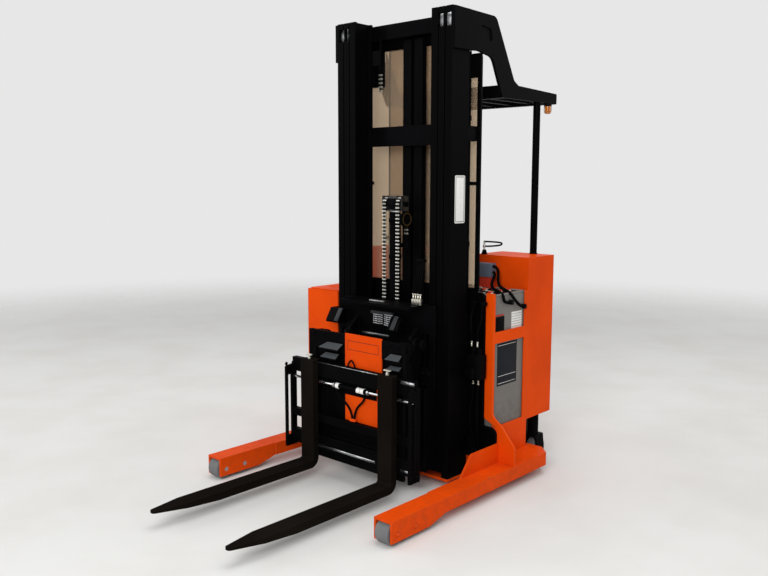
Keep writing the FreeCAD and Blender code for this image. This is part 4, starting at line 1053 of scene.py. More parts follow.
# ---- mast
@dataclass
class FreeLift(Assembly):
    """The middle cylinder's chains, chain wheels, hose pulley and fittings."""

    body = "crosshead"
    wheel: Point = (0.047, 0.034, 1.462)
    rim: float = 0.038
    groove: float = 0.0275
    pitch: float = CHAIN_PITCH
    height: float = 0.0155
    carriage_end: float = 0.865
    barrel_end: float = 1.305
    pulley: Point = (0.074, 0.036, 1.383)
    pulley_radius: float = 0.04

    def wheels(self) -> None:
        """Grooved chain wheels with their pin's keepers."""
        profile = [(0.0102, -0.012), (self.rim - 0.004, -0.012), (self.rim, -0.0105), (self.rim, -0.009),
            (self.groove, -0.0078), (self.groove, 0.0078), (self.rim, 0.009), (self.rim, 0.0105),
            (self.rim - 0.004, 0.012), (0.0102, 0.012)]
        self.add("chain_wheels", both(lathe(profile, "x", 40).moved(self.wheel)), replaces=["chain_sheaves"])
        x, y, z = self.wheel
        keeper = box((0.0702, y - 0.02, z - 0.012), (0.0742, y + 0.02, z + 0.012), 0.001, 0.006, "x")
        keeper += bolts([(0.0742, y - 0.012, z), (0.0742, y + 0.012, z)], "x", 0.005)
        keeper += lathe([(0.01, 0.07), (0.01, 0.0755), (0.0085, 0.077)], "x", 20).moved((0, y, z))
        self.add("crosshead_keepers", both(keeper))
        cover = box((-0.03, y - 0.0302, z - 0.03), (0.03, y - 0.0282, z + 0.03), 0.001, 0.004, "y")
        cover += bolts([(sx * 0.022, y - 0.0302, z + sz * 0.022) for sx in SIDES for sz in SIDES], "y", 0.0045, -1)
        self.add("crosshead_cover", cover)

    def chains(self) -> None:
        """The front runs ride with the carriage, the wraps with the crosshead, and the back runs are on no body."""
        x, y, z = self.wheel
        radius = self.groove + self.height / 2
        front = [leaf_chain(straight((s * x, y - radius, self.carriage_end), (s * x, y - radius, z), self.pitch))
            for s in SIDES]
        for piece in place_chain("chain_front_runs", front, "mast_carriage"):
            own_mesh(piece)
        turn = np.linspace(math.pi, 0, 7)
        over = [np.stack([s * x + 0 * turn, y + radius * np.cos(turn), z + radius * np.sin(turn)], 1) for s in SIDES]
        place_chain("chain_wraps", [leaf_chain(points) for points in over], "crosshead")
        back = [leaf_chain(straight((s * x, y + radius, self.barrel_end), (s * x, y + radius, z), self.pitch))
            for s in SIDES]
        for piece in place_chain("chain_back_runs", back, None):
            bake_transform(piece)
        anchor = box((x - 0.011, y + radius - 0.009, self.barrel_end - 0.05),
            (x + 0.011, y + radius + 0.009, self.barrel_end - 0.004), 0.002)
        anchor += lathe([(0.006, -0.12), (0.006, -0.05)], "z", 12).moved((x, y + radius, self.barrel_end))
        anchor += lathe([(0.011, -0.085), (0.011, -0.074)], "z", 6).moved((x, y + radius, self.barrel_end))
        yoke = box((-0.064, y + 0.0308, self.barrel_end - 0.074),
            (0.064, y + radius + 0.012, self.barrel_end - 0.052), 0.002)
        self.add("chain_anchors", both(anchor) + yoke, body="inner_mast")

    def barrel(self) -> None:
        """Gland and clamp rings of the cylinder."""
        y = self.wheel[1]
        gland = lathe([(0.0206, 1.404), (0.0285, 1.4045), (0.0298, 1.4065), (0.0298, 1.417), (0.0275, 1.4195),
            (0.0206, 1.4195)], "z", 40).moved((0, y, 0))
        self.add("free_lift_gland", gland, body="inner_mast")
        ring = lathe([(0.0301, -0.012), (0.0335, -0.011), (0.0335, 0.011), (0.0301, 0.012)], "z", 36).moved((0, y, 0))
        ears = box((-0.006, y - 0.046, -0.01), (0.006, y - 0.032, 0.01), 0.001)
        ears += bolt((0.006, y - 0.04, 0), "x", 0.005)
        self.add("free_lift_clamps", (ring + ears).copies([(0, 0, 1.18), (0, 0, 1.375)]), body="inner_mast")

    def pulley_wheel(self) -> None:
        """The hose pulley beside the crosshead, on its bracket."""
        x, y, z = self.pulley
        r = self.pulley_radius
        wheel = lathe([(0.009, -0.009), (0.018, -0.01), (0.03, -0.006), (r - 0.004, -0.006), (r, -0.01),
            (r + 0.001, -0.008), (r - 0.011, 0.0), (r + 0.001, 0.008), (r, 0.01), (r - 0.004, 0.006), (0.03, 0.006),
            (0.018, 0.01), (0.009, 0.009)], "x", 40).moved(self.pulley)
        self.add("hose_pulley", wheel)
        ring = lathe([(r - 0.009, 0.0062), (r - 0.0085, 0.0072), (r - 0.0055, 0.0074), (r - 0.005, 0.0064)],
            "x", 40).moved(self.pulley)
        self.add("hose_pulley_ring", ring, Finish.BRASS)
        arm = prism([(y - 0.016, z - 0.016), (y + 0.016, z - 0.016), (0.058, 1.44), (0.058, 1.49), (0.01, 1.49),
            (0.006, 1.44)], 0.0702, 0.0722, "x", 0.0006)
        arm = arm.moved((-0.0035, 0, 0)) + lathe([(0.008, 0.0625), (0.008, 0.084), (0.0125, 0.0845), (0.0125, 0.0905),
            (0.009, 0.0915)], "x", 18).moved((0, y, z))
        self.add("hose_pulley_bracket", arm)

    def build(self) -> None:
        """Makes the pieces."""
        self.wheels()
        self.chains()
        self.barrel()
        self.pulley_wheel()


@dataclass
class Mast(Assembly):
    """Cylinder glands, roller caps, a hose, head fillers, an anchor rod and the label of the mast."""

    cylinder: Point = (0.35, 0.176)
    rail_side: float = 0.396
    decal: tuple = ((0.033, 1.372), (0.116, 1.611))
    band_heights: tuple = (0.62, 1.26, 1.9)
    roller_cap: Point = (0.396, 0.07, 2.365)
    anchor: tuple = (-0.196, 0.131)

    def build(self) -> None:
        """Makes the pieces."""
        x, y = self.cylinder
        gland = lathe([(0.0163, 2.229), (0.0262, 2.2295), (0.0275, 2.232), (0.0275, 2.246), (0.025, 2.249),
            (0.0163, 2.249)], "z", 32).moved((x, y, 0))
        foot = lathe([(0.0272, 0.046), (0.032, 0.046), (0.032, 0.074), (0.0272, 0.078)], "z", 32).moved((x, y, 0))
        self.add("lift_cylinder_glands", both(gland), Finish.STEEL)
        band = lathe([(0.0272, -0.014), (0.0305, -0.013), (0.0305, 0.013), (0.0272, 0.014)], "z", 32).moved((x, y, 0))
        self.add("lift_cylinder_bands", both(foot + band.copies([(0, 0, z) for z in self.band_heights])))
        cap = lathe([(0.0165, 2.322), (0.024, 2.3225), (0.024, 2.3395)], "z", 28).moved((x, y, 0))
        self.add("rod_ends", both(cap), Finish.STEEL, body="middle_mast")
        hose = pipe([(-x + 0.034, y, 0.8), (-x + 0.034, y, 1.5), (-x + 0.034, y, 2.2)], 0.005, (1, 0, 0), 10)
        self.add("mast_rising_hose", hose, Finish.RUBBER)
        filler = box((-self.rail_side, 0.2098, 2.306), (self.rail_side, 0.2218, 2.3538), 0.002)
        filler += both(box((0.281, 0.2222, 2.2072), (0.41, 0.2338, 2.2254), 0.0015))
        self.add("mast_head_fillers", filler)
        self.caps()
        self.rods()
        self.labels()

    def caps(self) -> None:
        """Ends of the roller pins on the rails' outer sides, each in its weld ring."""
        cap = lathe([(0.019, 0.0), (0.0175, 0.0022), (0.0145, 0.003), (0.0135, 0.0016), (0.0, 0.0016)], "x", 28)
        outer = cap.moved(self.roller_cap)
        self.add("roller_pin_caps", both(outer))

    def rods(self) -> None:
        """An anchor rod with its nuts under the inner mast's head, and its short chain."""
        x, y = self.anchor
        rod = lathe([(0.0045, 2.19), (0.0045, 2.341)], "z", 14).moved((x, y, 0))
        rod += lathe([(0.009, 2.322), (0.009, 2.334)], "z", 6).moved((x, y, 0))
        rod += lathe([(0.009, 2.306), (0.009, 2.317)], "z", 6).moved((x, y, 0))
        rod += box((x - 0.012, y - 0.011, 2.16), (x + 0.012, y + 0.011, 2.196), 0.003)
        self.add("anchor_rod", rod, body="inner_mast")
        place_chain("anchor_chain", [leaf_chain(straight((x, y, 2.07), (x, y, 2.155), CHAIN_PITCH))], "inner_mast")

    def labels(self) -> None:
        """A blank white label on the rail's side, with a thin raised border."""
        (y0, z0), (y1, z1) = self.decal
        side = self.rail_side
        plate = box((side + CLEAR, y0, z0), (side + 0.0009, y1, z1), 0.0002, 0.008, "x")
        self.add("mast_side_label", plate, Finish.WHITE_LABEL)
        frame_lines = box((side + 0.0009, y0 + 0.006, z0 + 0.006), (side + 0.0011, y0 + 0.009, z1 - 0.006), 0.00005)
        frame_lines += frame_lines.moved((0, y1 - y0 - 0.015, 0))
        for z in (z0 + 0.006, z1 - 0.009):
            frame_lines += box((side + 0.0009, y0 + 0.006, z), (side + 0.0011, y1 - 0.006, z + 0.003), 0.00005)
        self.add("mast_side_label_border", frame_lines, Finish.DARK_LABEL)


@dataclass
class Screen(Assembly):
    """Edge trims and screws of the tinted screen behind the mast."""

    face: float = 0.2402
    edges: tuple = (-0.231, -0.07, 0.002, 0.231)
    bottom: float = 1.03
    top: float = 2.29

    def build(self) -> None:
        """Makes the pieces."""
        trims = [box((x, self.face - 0.0026, self.bottom), (x + side * 0.012, self.face - 0.0001, self.top), 0.0006)
            for x, side in zip(self.edges, SIDES * 2)]
        self.add("pane_edge_trims", trims, Finish.PANE_EDGE)
        rows = [(x, 0.2218, z) for x in (-0.3995, 0.3995) for z in np.linspace(1.06, 2.05, 6)]
        self.add("screen_screws", bolts(rows, "y", 0.0055, -1))


# ---- carriage and reach linkage
@dataclass
class CarriageTrim(Assembly):
    """Hoses, chain ends, pads and hardware on the mast carriage."""

    body = "mast_carriage"
    plate: float = -0.0262
    hose_x: tuple = (0.199, 0.2145, 0.23, 0.2455)
    shelf: float = 0.9502
    ears: tuple = ((-0.338, -0.302), (0.078, 0.114))
    strands: tuple = ((-0.083, 0.822, 0.868), (-0.06, 0.82, 0.868), (-0.037, 0.822, 0.868), (-0.004, 0.818, 0.872),
        (0.018, 0.815, 0.872), (0.04, 0.822, 0.872))

    def build(self) -> None:
        """Makes the pieces."""
        self.hoses()
        self.bundles()
        face = self.plate
        bar = box((-0.179, face - 0.016, 0.753), (0.021, face - CLEAR, 0.764), 0.002)
        # The strip is bright steel laid at the top plate's height as a painted highlight of the plate's lit top edge
        highlight_strip = box((-0.06, -0.108, 0.9502), (0.041, -0.092, 0.9582), 0.002)
        self.add("carriage_bar_and_highlight_strip", bar + highlight_strip, Finish.STEEL)
        slope = [(-0.1035, 0.8105), (-0.1035, 0.812), (-0.0625, 0.8785), (-0.0605, 0.8775)]
        pads = [prism(slope, x0 + 0.004, x1 - 0.004, "x", 0.0006) for x0, x1 in self.ears]
        self.add("carriage_stop_pads", pads, Finish.GREY_PAINT)
        heads = [(x, face, z) for x in (-0.285, -0.245, 0.245, 0.285) for z in (0.53, 0.59)]
        heads += [(x, face, z) for x in (-0.285, 0.285) for z in (0.125, 0.17)]
        self.add("carriage_bolts", bolts(heads, "y", 0.01, -1))
        caps = lathe([(0.03, 0.0), (0.03, 0.006), (0.024, 0.01), (0.01, 0.01), (0.009, 0.006), (0.0, 0.006)], "x", 28)
        self.add("pivot_caps", both(caps.moved((0.2815, -0.068, 0.75))))

    def hoses(self) -> None:
        """Four hoses rise from fittings on the carriage and lean together."""
        face = self.plate
        runs, ends = [], []
        y, z = face - 0.022, self.shelf
        for k, x in enumerate(self.hose_x):
            lean = 0.006 * (3 - k)
            ends.append(box((x - 0.0065, y - 0.009, z), (x + 0.0065, y + 0.009, z + 0.03), 0.002))
            ends.append(fitting((x, y, z + 0.029), "z", 0.0065))
            runs.append(pipe([(x, y, z + 0.05), (x, y, z + 0.09), (x + lean * 0.4, -0.034, 1.1),
                (x + lean, -0.022, 1.186)], 0.005, (1, 0, 0), 10))
        clip = box((self.hose_x[0] + 0.008, -0.036, 1.17), (self.hose_x[3] + 0.008, -0.009, 1.186), 0.003)
        self.add("carriage_hoses", runs, Finish.RUBBER)
        self.add("carriage_hose_ends", ends, Finish.ZINC)
        post = box((0.228, -0.0258, z), (0.246, -0.0205, 1.18), 0.001)
        self.add("carriage_hose_post", clip + post)

    def bundles(self) -> None:
        """The ends of the lift chains, gathered in front of the carriage plate."""
        y = self.plate - 0.011
        strands = [leaf_chain(straight((x, y, low), (x, y, top), 0.0115), 0.0105, 0.0019)
            for x, low, top in self.strands]
        place_chain("chain_end_bundles", strands, "mast_carriage", Finish.BRIGHT_CHAIN)
        block = box((-0.106, self.plate - 0.022, 0.872), (-0.022, self.plate - CLEAR, 0.889), 0.003)
        block += box((-0.02, self.plate - 0.022, 0.876), (0.05, self.plate - CLEAR, 0.889), 0.003)
        self.add("chain_end_block", block, Finish.GREY_PAINT)


@dataclass
class ReachTrim(Assembly):
    """Lugs, plate border, hoses and side-shift hardware of the reach frame."""

    body = "reach_frame"
    face: float = -0.2852
    rod: Point = (0.0, -0.305, 0.518)
    ear: float = 0.3062
    border: tuple = ((-0.045, 0.716), (0.172, 0.764))
    lug_edges: tuple = (((-0.238, -0.094, 0.708), (-0.184, -0.072, 0.739)),
        ((-0.223, -0.109, 0.658), (-0.2, -0.102, 0.682)), ((0.237, 0.328, 0.71), (0.262, 0.334, 0.737)),
        ((0.25, 0.33, 0.663), (0.262, 0.334, 0.679)))
    tape_x: tuple = (-0.096, 0.057, 0.083)
    port_x: tuple = (-0.106, 0.097)
    bolt_x: tuple = (-0.3, -0.22, -0.12, 0.24, 0.3)
    pivot_heights: tuple = (0.75, 0.129)

    def build(self) -> None:
        """Makes the pieces."""
        self.lugs()
        self.plate_marks()
        _, y, z = self.rod
        tape = lathe([(0.0142, -0.012), (0.0147, -0.0118), (0.0147, 0.0118), (0.0142, 0.012)], "x").moved((0, y, z))
        tapes = [tape.moved((x, 0, 0)) for x in self.tape_x]
        self.add("shift_barrel_tapes", tapes, Finish.WHITE_TAPE)
        glands = lathe([(0.0083, 0.1152), (0.014, 0.1152), (0.0147, 0.118), (0.0147, 0.128), (0.0083, 0.13)],
            "x").moved((0, y, z))
        self.add("shift_glands", both(glands), Finish.STEEL)
        ports = [fitting((x, y, z - 0.0285), "z", 0.0045) for x in self.port_x]
        self.add("shift_hose_ends", ports, Finish.ZINC)
        elbow = lathe([(0.005, 0), (0.005, 0.012), (0.007, 0.013), (0.007, 0.02)],
            "y", 6).moved((0.153, self.face - 0.02, 0.494))
        self.add("shift_port", elbow)

    def lugs(self) -> None:
        """Black wedges, each with a thin grey slice on its sloped face as a painted highlight, and bolts on the
        frame's front.
        """
        face = self.face
        blocks = [self.wedge(low, high, 0.0, 1.0) for low, high in self.lug_edges]
        blocks += [box((low[0], face - 0.027, low[2] - 0.01), (low[1], face, low[2] - 0.0004), 0.0015)
            for low, _ in self.lug_edges]
        # The grey slices are painted highlights: the lit top faces of the black wedges
        lit_faces = [self.wedge(low, high, -0.05, -0.01) for low, high in self.lug_edges]
        self.add("frame_lugs", blocks)
        self.add("frame_lug_painted_highlights", lit_faces, Finish.GREY_PAINT)
        back = box((-0.162, face - 0.0052, 0.478), (0.162, face - CLEAR, 0.598), 0.001)
        self.add("shift_backing", back)
        heads = bolts([(x, face, 0.772) for x in self.bolt_x], "y", 0.008, -1)
        self.add("frame_bolts", heads)
        pin = lathe([(0.011, 0.0), (0.011, 0.012), (0.008, 0.014)], "x", 20)
        pin = pin.moved((self.ear, 0, 0))
        pins = joined(pin.moved((0, -0.223, z)) for z in self.pivot_heights)
        self.add("frame_pivot_ends", both(pins))

    def wedge(self, low: Point, high: Point, front: float, back: float) -> Shape:
        """A slice of a sloped wedge on the frame's front.

        Args:
            low: its lower edge's two ends along X and its height.
            high: the same for its upper edge.
            front: where the slice starts, 0 at the slope and 1 at the frame.
            back: where it ends.
        Returns:
            The slice.
        """
        cube = box((0, 0, 0), (1, 1, 1), 0.02)
        u, v, w = cube.verts.T
        x = (1 - w) * (low[0] + u * (low[1] - low[0])) + w * (high[0] + u * (high[1] - high[0]))
        y = self.face - 0.027 * (1 - 0.7 * w) * (1 - front - v * (back - front))
        return Shape(np.stack([x, y, low[2] + w * (high[2] - low[2])], 1), cube.faces)

    def plate_marks(self) -> None:
        """A blank bordered nameplate and a small hose loop on the orange cover."""
        y = self.face
        (x0, z0), (x1, z1) = self.border
        t = 0.002
        edges = (((x0, z0), (x1, z0 + t)), ((x0, z1 - t), (x1, z1)), ((x0, z0), (x0 + t, z1)),
            ((x1 - t, z0), (x1, z1)))
        lines = [box((low[0], y - 0.0004, low[1]), (high[0], y, high[1]), 0.0001) for low, high in edges]
        self.add("plate_border", lines, Finish.DARK_LABEL)
        left, right, low = -0.036, 0.013, 0.617
        arch = [(left, y - 0.007, low), (left + 0.003, y - 0.008, low + 0.024),
            ((left + right) / 2, y - 0.009, low + 0.046), (right - 0.003, y - 0.008, low + 0.024),
            (right, y - 0.007, low)]
        self.add("plate_hose_loop", pipe(arch, 0.0042, (0, 1, 0), 9), Finish.RUBBER)
        feet = joined([box((x - 0.008, y - 0.015, low - 0.014), (x + 0.008, y - CLEAR, low + 0.002), 0.002)
            for x in (left, right)])
        self.add("plate_loop_clips", feet)


@dataclass
class ForkTrim(Assembly):
    """Fork latches, thin steel strips on the carriage bars that are worn edges and their painted highlight, and end
    plate bolts.
    """

    body = "fork_carriage"
    centre: float = 0.28
    bar_face: float = -0.3202
    strips: tuple = ((-0.236, 0.21, 0.6235, 0.6275), (0.352, 0.437, 0.606, 0.622), (-0.254, 0.182, 0.163, 0.176),
        (0.352, 0.415, 0.163, 0.176))

    def build(self) -> None:
        """Makes the pieces."""
        for side, name in ((1, "right"), (-1, "left")):
            x = side * self.centre
            latch = lathe([(0.01, 0.6402), (0.01, 0.65), (0.0065, 0.652), (0.0065, 0.663)],
                "z", 20).moved((x, -0.338, 0))
            latch += box((x - 0.022, -0.345, 0.66), (x + 0.022, -0.331, 0.669), 0.003)
            self.add(f"fork_latch_{name}", latch, Finish.ZINC, body=f"fork_{name}")
            hook = box((x - 0.036, -0.322, 0.6285), (x + 0.036, -0.294, 0.6405), 0.003)
            self.add(f"fork_hook_{name}", hook, Finish.FORK, body=f"fork_{name}")
        # Thin bright steel strips on the bars' faces: worn edges, and painted highlights along the bars' edges
        strips = [box((x0, self.bar_face + 0.0001, z0), (x1, self.bar_face + 0.0004, z1), 0.00004)
            for x0, x1, z0, z1 in self.strips]
        self.add("bar_wear_and_highlight_strips", strips, Finish.STEEL)
        notches = joined([box((x - 0.003, -0.322, 0.6282), (x + 0.003, -0.29, 0.6312), 0.0008)
            for x in np.linspace(-0.07, 0.07, 4)])
        self.add("bar_notches", notches)
        heads = [(0.4512, y, z) for y in (-0.352, -0.304) for z in (0.155, 0.59)]
        self.add("end_plate_bolts", both(bolts(heads, "x", 0.0075)))


# ---- body
@dataclass
class Battery(Assembly):
    """Cells, vent, labels and slots of the battery."""

    low: Point = (-0.4, 0.246, 0.12)
    high: Point = (0.501, 0.536, 0.985)
    columns: int = 9
    rows: int = 3
    vent: tuple = ((0.2465, 0.777), (0.33, 0.879))
    label: tuple = ((0.405, 0.79), (0.505, 0.892))
    side_label: tuple = ((0.279, 0.505), (0.463, 0.735))
    rules: tuple = (0.7215, 0.556, 0.5165)
    inset: float = 0.012

    def build(self) -> None:
        """Makes the pieces."""
        self.cells()
        x = self.high[0]
        (y0, z0), (y1, z1) = self.vent
        back = box((x + CLEAR, y0, z0), (x + 0.0022, y1, z1), 0.0005)
        fins = slats((x + 0.002, y0 + 0.001, z0 + 0.005), (x + 0.0075, y1 - 0.004, z1 - 0.003), 9, "z", 0.55, 0.0012)
        rim = box((x + 0.002, y0, z0), (x + 0.006, y0 + 0.004, z1), 0.0008)
        self.add("battery_vent", back + fins + rim + rim.moved((0, 0.08, 0)), Finish.PLASTIC)
        self.add("vent_seal", box((x + CLEAR, y0, z1 + 0.004), (x + 0.004, y1, z1 + 0.01), 0.001), Finish.PLUG)
        for name, (low, high), corner, finish in (("battery_label", self.label, 0.004, Finish.RULED_LABEL),
                                                  ("battery_side_label", self.side_label, 0.003, Finish.DARK_LABEL)):
            self.add(name, box((x + CLEAR, *low), (x + 0.0008, *high), 0.0002, corner, "x"), finish)
        low, high = self.side_label[0][0] + 0.01, self.side_label[1][0] - 0.01
        border = [box((x + 0.0008, low, z), (x + 0.001, high, z + 0.002), 0.00005) for z in self.rules]
        self.add("battery_side_label_rules", border, Finish.WHITE_LABEL)
        slot = box((x + CLEAR, 0.262, 0.742), (x + 0.0016, 0.33, 0.756), 0.0004, 0.006, "x")
        foot = box((x - 0.004, 0.262, 0.206), (x + 0.003, 0.52, 0.214), 0.001)
        self.add("battery_slots", slot + foot, Finish.PLASTIC)

    def cells(self) -> None:
        """A grid of cell lids with filler caps and lead straps."""
        x0, x1 = self.low[0] + 0.022, self.high[0] - 0.022
        y0, y1 = self.low[1] + 0.02, self.high[1] - 0.02
        top = self.high[2]
        dx, dy = (x1 - x0) / self.columns, (y1 - y0) / self.rows
        lid = box((0.003, 0.003, top + CLEAR), (dx - 0.003, dy - 0.003, top + 0.007), 0.002, 0.006)
        places = [(x0 + i * dx, y0 + j * dy, 0) for i in range(self.columns) for j in range(self.rows)]
        self.add("cell_lids", lid.copies(places), Finish.PLASTIC)
        cap = lathe([(0.013, top + 0.007), (0.0145, top + 0.009), (0.0145, top + 0.016), (0.012, top + 0.019),
            (0.005, top + 0.0195), (0.004, top + 0.017), (0.0, top + 0.017)], "z", 18).moved((dx / 2, dy / 2, 0))
        self.add("cell_caps", cap.copies(places), Finish.PLUG)
        strap = box((dx / 2 + 0.006, 0.014, top + 0.007), (dx * 1.5 - 0.018, 0.028, top + 0.013), 0.002)
        post = lathe([(0.009, top + 0.007), (0.009, top + 0.015), (0.006, top + 0.017)],
            "z", 14).moved((dx * 0.75, 0.021, 0))
        straps = [p for p in places if p[0] < x1 - 1.5 * dx]
        self.add("cell_straps", strap.copies(straps) + post.copies(places), Finish.ZINC)
        (x0, y0, _), (x1, y1, _), wide = self.low, self.high, self.inset
        rim = [box((xa, ya, top + CLEAR), (xb, yb, top + 0.012), 0.002)
            for xa, xb, ya, yb in ((x0, x1, y0, y0 + wide), (x0, x1, y1 - wide, y1), (x0, x0 + wide, y0, y1),
            (x1 - wide, x1, y0, y1))]
        self.add("battery_rim", rim, Finish.GREY)


@dataclass
class SideTrim(Assembly):
    """Hoses, valve block and fasteners between the mast and the body's side frame."""

    wall: float = 0.2058
    spool_x: tuple = (0.432, 0.468)
    clamps: tuple = ((0.428, 0.955), (0.474, 0.955), (0.45, 0.18), (0.48, 0.172))
    plate_bolts: tuple = (0.2, 0.48, 0.76, 0.97)

    def build(self) -> None:
        """Makes the pieces."""
        low, high = (0.414, self.wall - 0.085, 0.56), (0.486, self.wall - 0.0006, 0.69)
        block = box(low, high, 0.004)
        block += box((0.424, low[1] - 0.03, 0.575), (0.476, low[1] + 0.001, 0.625), 0.003)
        spools = joined([lathe([(0.015, 0), (0.015, 0.03), (0.011, 0.034), (0.006, 0.034), (0.006, 0.044)],
            "z", 18).moved((x, self.wall - 0.042, 0.69)) for x in self.spool_x])
        self.add("side_valve", block + spools)
        ends = [fitting((x, self.wall - 0.045, 0.56), "z", 0.0065, -1) for x in (0.434, 0.466)]
        ends += [fitting((x, self.wall - 0.06, 0.734), "z", 0.0065) for x in self.spool_x]
        self.add("side_valve_fittings", ends, Finish.ZINC)
        y = self.wall
        runs = [[(0.434, y - 0.045, 0.532), (0.434, y - 0.048, 0.47), (0.425, y - 0.06, 0.38),
            (0.432, y - 0.05, 0.27), (0.45, y - 0.03, 0.17)],
            [(0.466, y - 0.045, 0.532), (0.466, y - 0.052, 0.46), (0.476, y - 0.066, 0.36), (0.47, y - 0.054, 0.26),
            (0.476, y - 0.032, 0.17)], [(0.432, y - 0.06, 0.762), (0.432, y - 0.062, 0.82), (0.42, y - 0.052, 0.88),
            (0.428, y - 0.03, 0.96)], [(0.468, y - 0.06, 0.762), (0.47, y - 0.062, 0.815), (0.48, y - 0.05, 0.865),
            (0.474, y - 0.028, 0.96)],]
        self.add("side_hoses", [pipe(run, 0.006, (1, 0.1, 0), 10) for run in runs])
        clamps = joined([box((x - 0.012, y - 0.046, z - 0.01), (x + 0.012, y - 0.0004, z + 0.01), 0.003)
            for x, z in self.clamps])
        self.add("side_hose_clamps", clamps)
        plate = bolts([(-0.38, 0.2056, z) for z in self.plate_bolts], "y", 0.009, -1)
        self.add("mounting_plate_bolts", plate)


@dataclass
class BodyTrim(Assembly):
    """Covers, hinges, screws and weld beads of the body."""

    rear: float = 0.8052
    pods: tuple = ((-0.661, -0.362), (0.164, 0.513))
    cover_heights: tuple = (0.33, 1.12)
    screw_heights: tuple = (0.35, 0.6, 0.85, 1.1)
    pump_lid: tuple = ((-0.652, 0.014), (-0.421, 0.54))
    pump_side: float = -0.6638
    axle_depths: tuple = (-0.691, -0.568)
    axle_height: float = 0.055

    def build(self) -> None:
        """Makes the pieces."""
        covers, screws, latches = [], [], []
        for x0, x1 in self.pods:
            bottom, top = self.cover_heights
            low, high = (x0 + 0.024, self.rear, bottom), (x1 - 0.024, self.rear + 0.0028, top)
            covers.append(box(low, high, 0.0012, 0.016, "y"))
            screws += [(x, high[1], z) for x in (low[0] + 0.016, high[0] - 0.016) for z in self.screw_heights]
            latches.append(slats((low[0] + 0.06, high[1], 0.42), (high[0] - 0.06, high[1] + 0.004, 0.54), 8, "z"))
        self.add("pod_covers", covers + latches, Finish.ORANGE)
        self.add("pod_cover_screws", bolts(screws, "y", 0.0055), Finish.ZINC)
        (x0, y0), (x1, y1) = self.pump_lid
        lid = box((x0, y0, 0.9552), (x1, y1, 0.9612), 0.002, 0.012)
        lid += slats((x0 + 0.05, y0 + 0.1, 0.9612), (x1 - 0.05, y0 + 0.3, 0.9652), 10, "y")
        self.add("pump_lid", lid, Finish.ORANGE)
        hinge = lathe([(0.005, -0.03), (0.006, -0.029), (0.006, 0.029), (0.005, 0.03)],
            "x", 12).moved((-0.536, 0.5432, 0.961))
        self.add("pump_lid_hinges", hinge.moved((-0.07, 0, 0)) + hinge.moved((0.07, 0, 0)), Finish.ZINC)
        cover = box((self.pump_side, 0.06, 0.3), (-0.6612, 0.5, 0.88), 0.0012, 0.016, "x")
        side = bolts([(self.pump_side, y, z) for y in (0.078, 0.482) for z in (0.32, 0.59, 0.86)], "x", 0.0055, -1)
        self.add("pump_side_cover", cover, Finish.ORANGE)
        self.add("pump_side_screws", side, Finish.ZINC)
        self.legs()

    def legs(self) -> None:
        """Axle keepers and weld beads on the legs."""
        keeper = box((0.6612, -0.0125, -0.009), (0.6642, 0.0125, 0.009), 0.001, 0.004, "x")
        keeper += bolt((0.6642, 0.0, 0.0), "x", 0.0055)
        keepers = keeper.copies([(0, y, self.axle_height) for y in self.axle_depths])
        self.add("axle_keepers", both(keepers), Finish.ORANGE)
        bead = weld([(0.5492, 0.02, 0.1215), (0.5492, 0.21, 0.1215)], 0.004, (1, 0, 0))
        bead += weld([(0.66, -0.02, 0.1215), (0.66, 0.0, 0.1215)], 0.003, (1, 0, 0))
        self.add("leg_welds", both(bead), Finish.ORANGE)


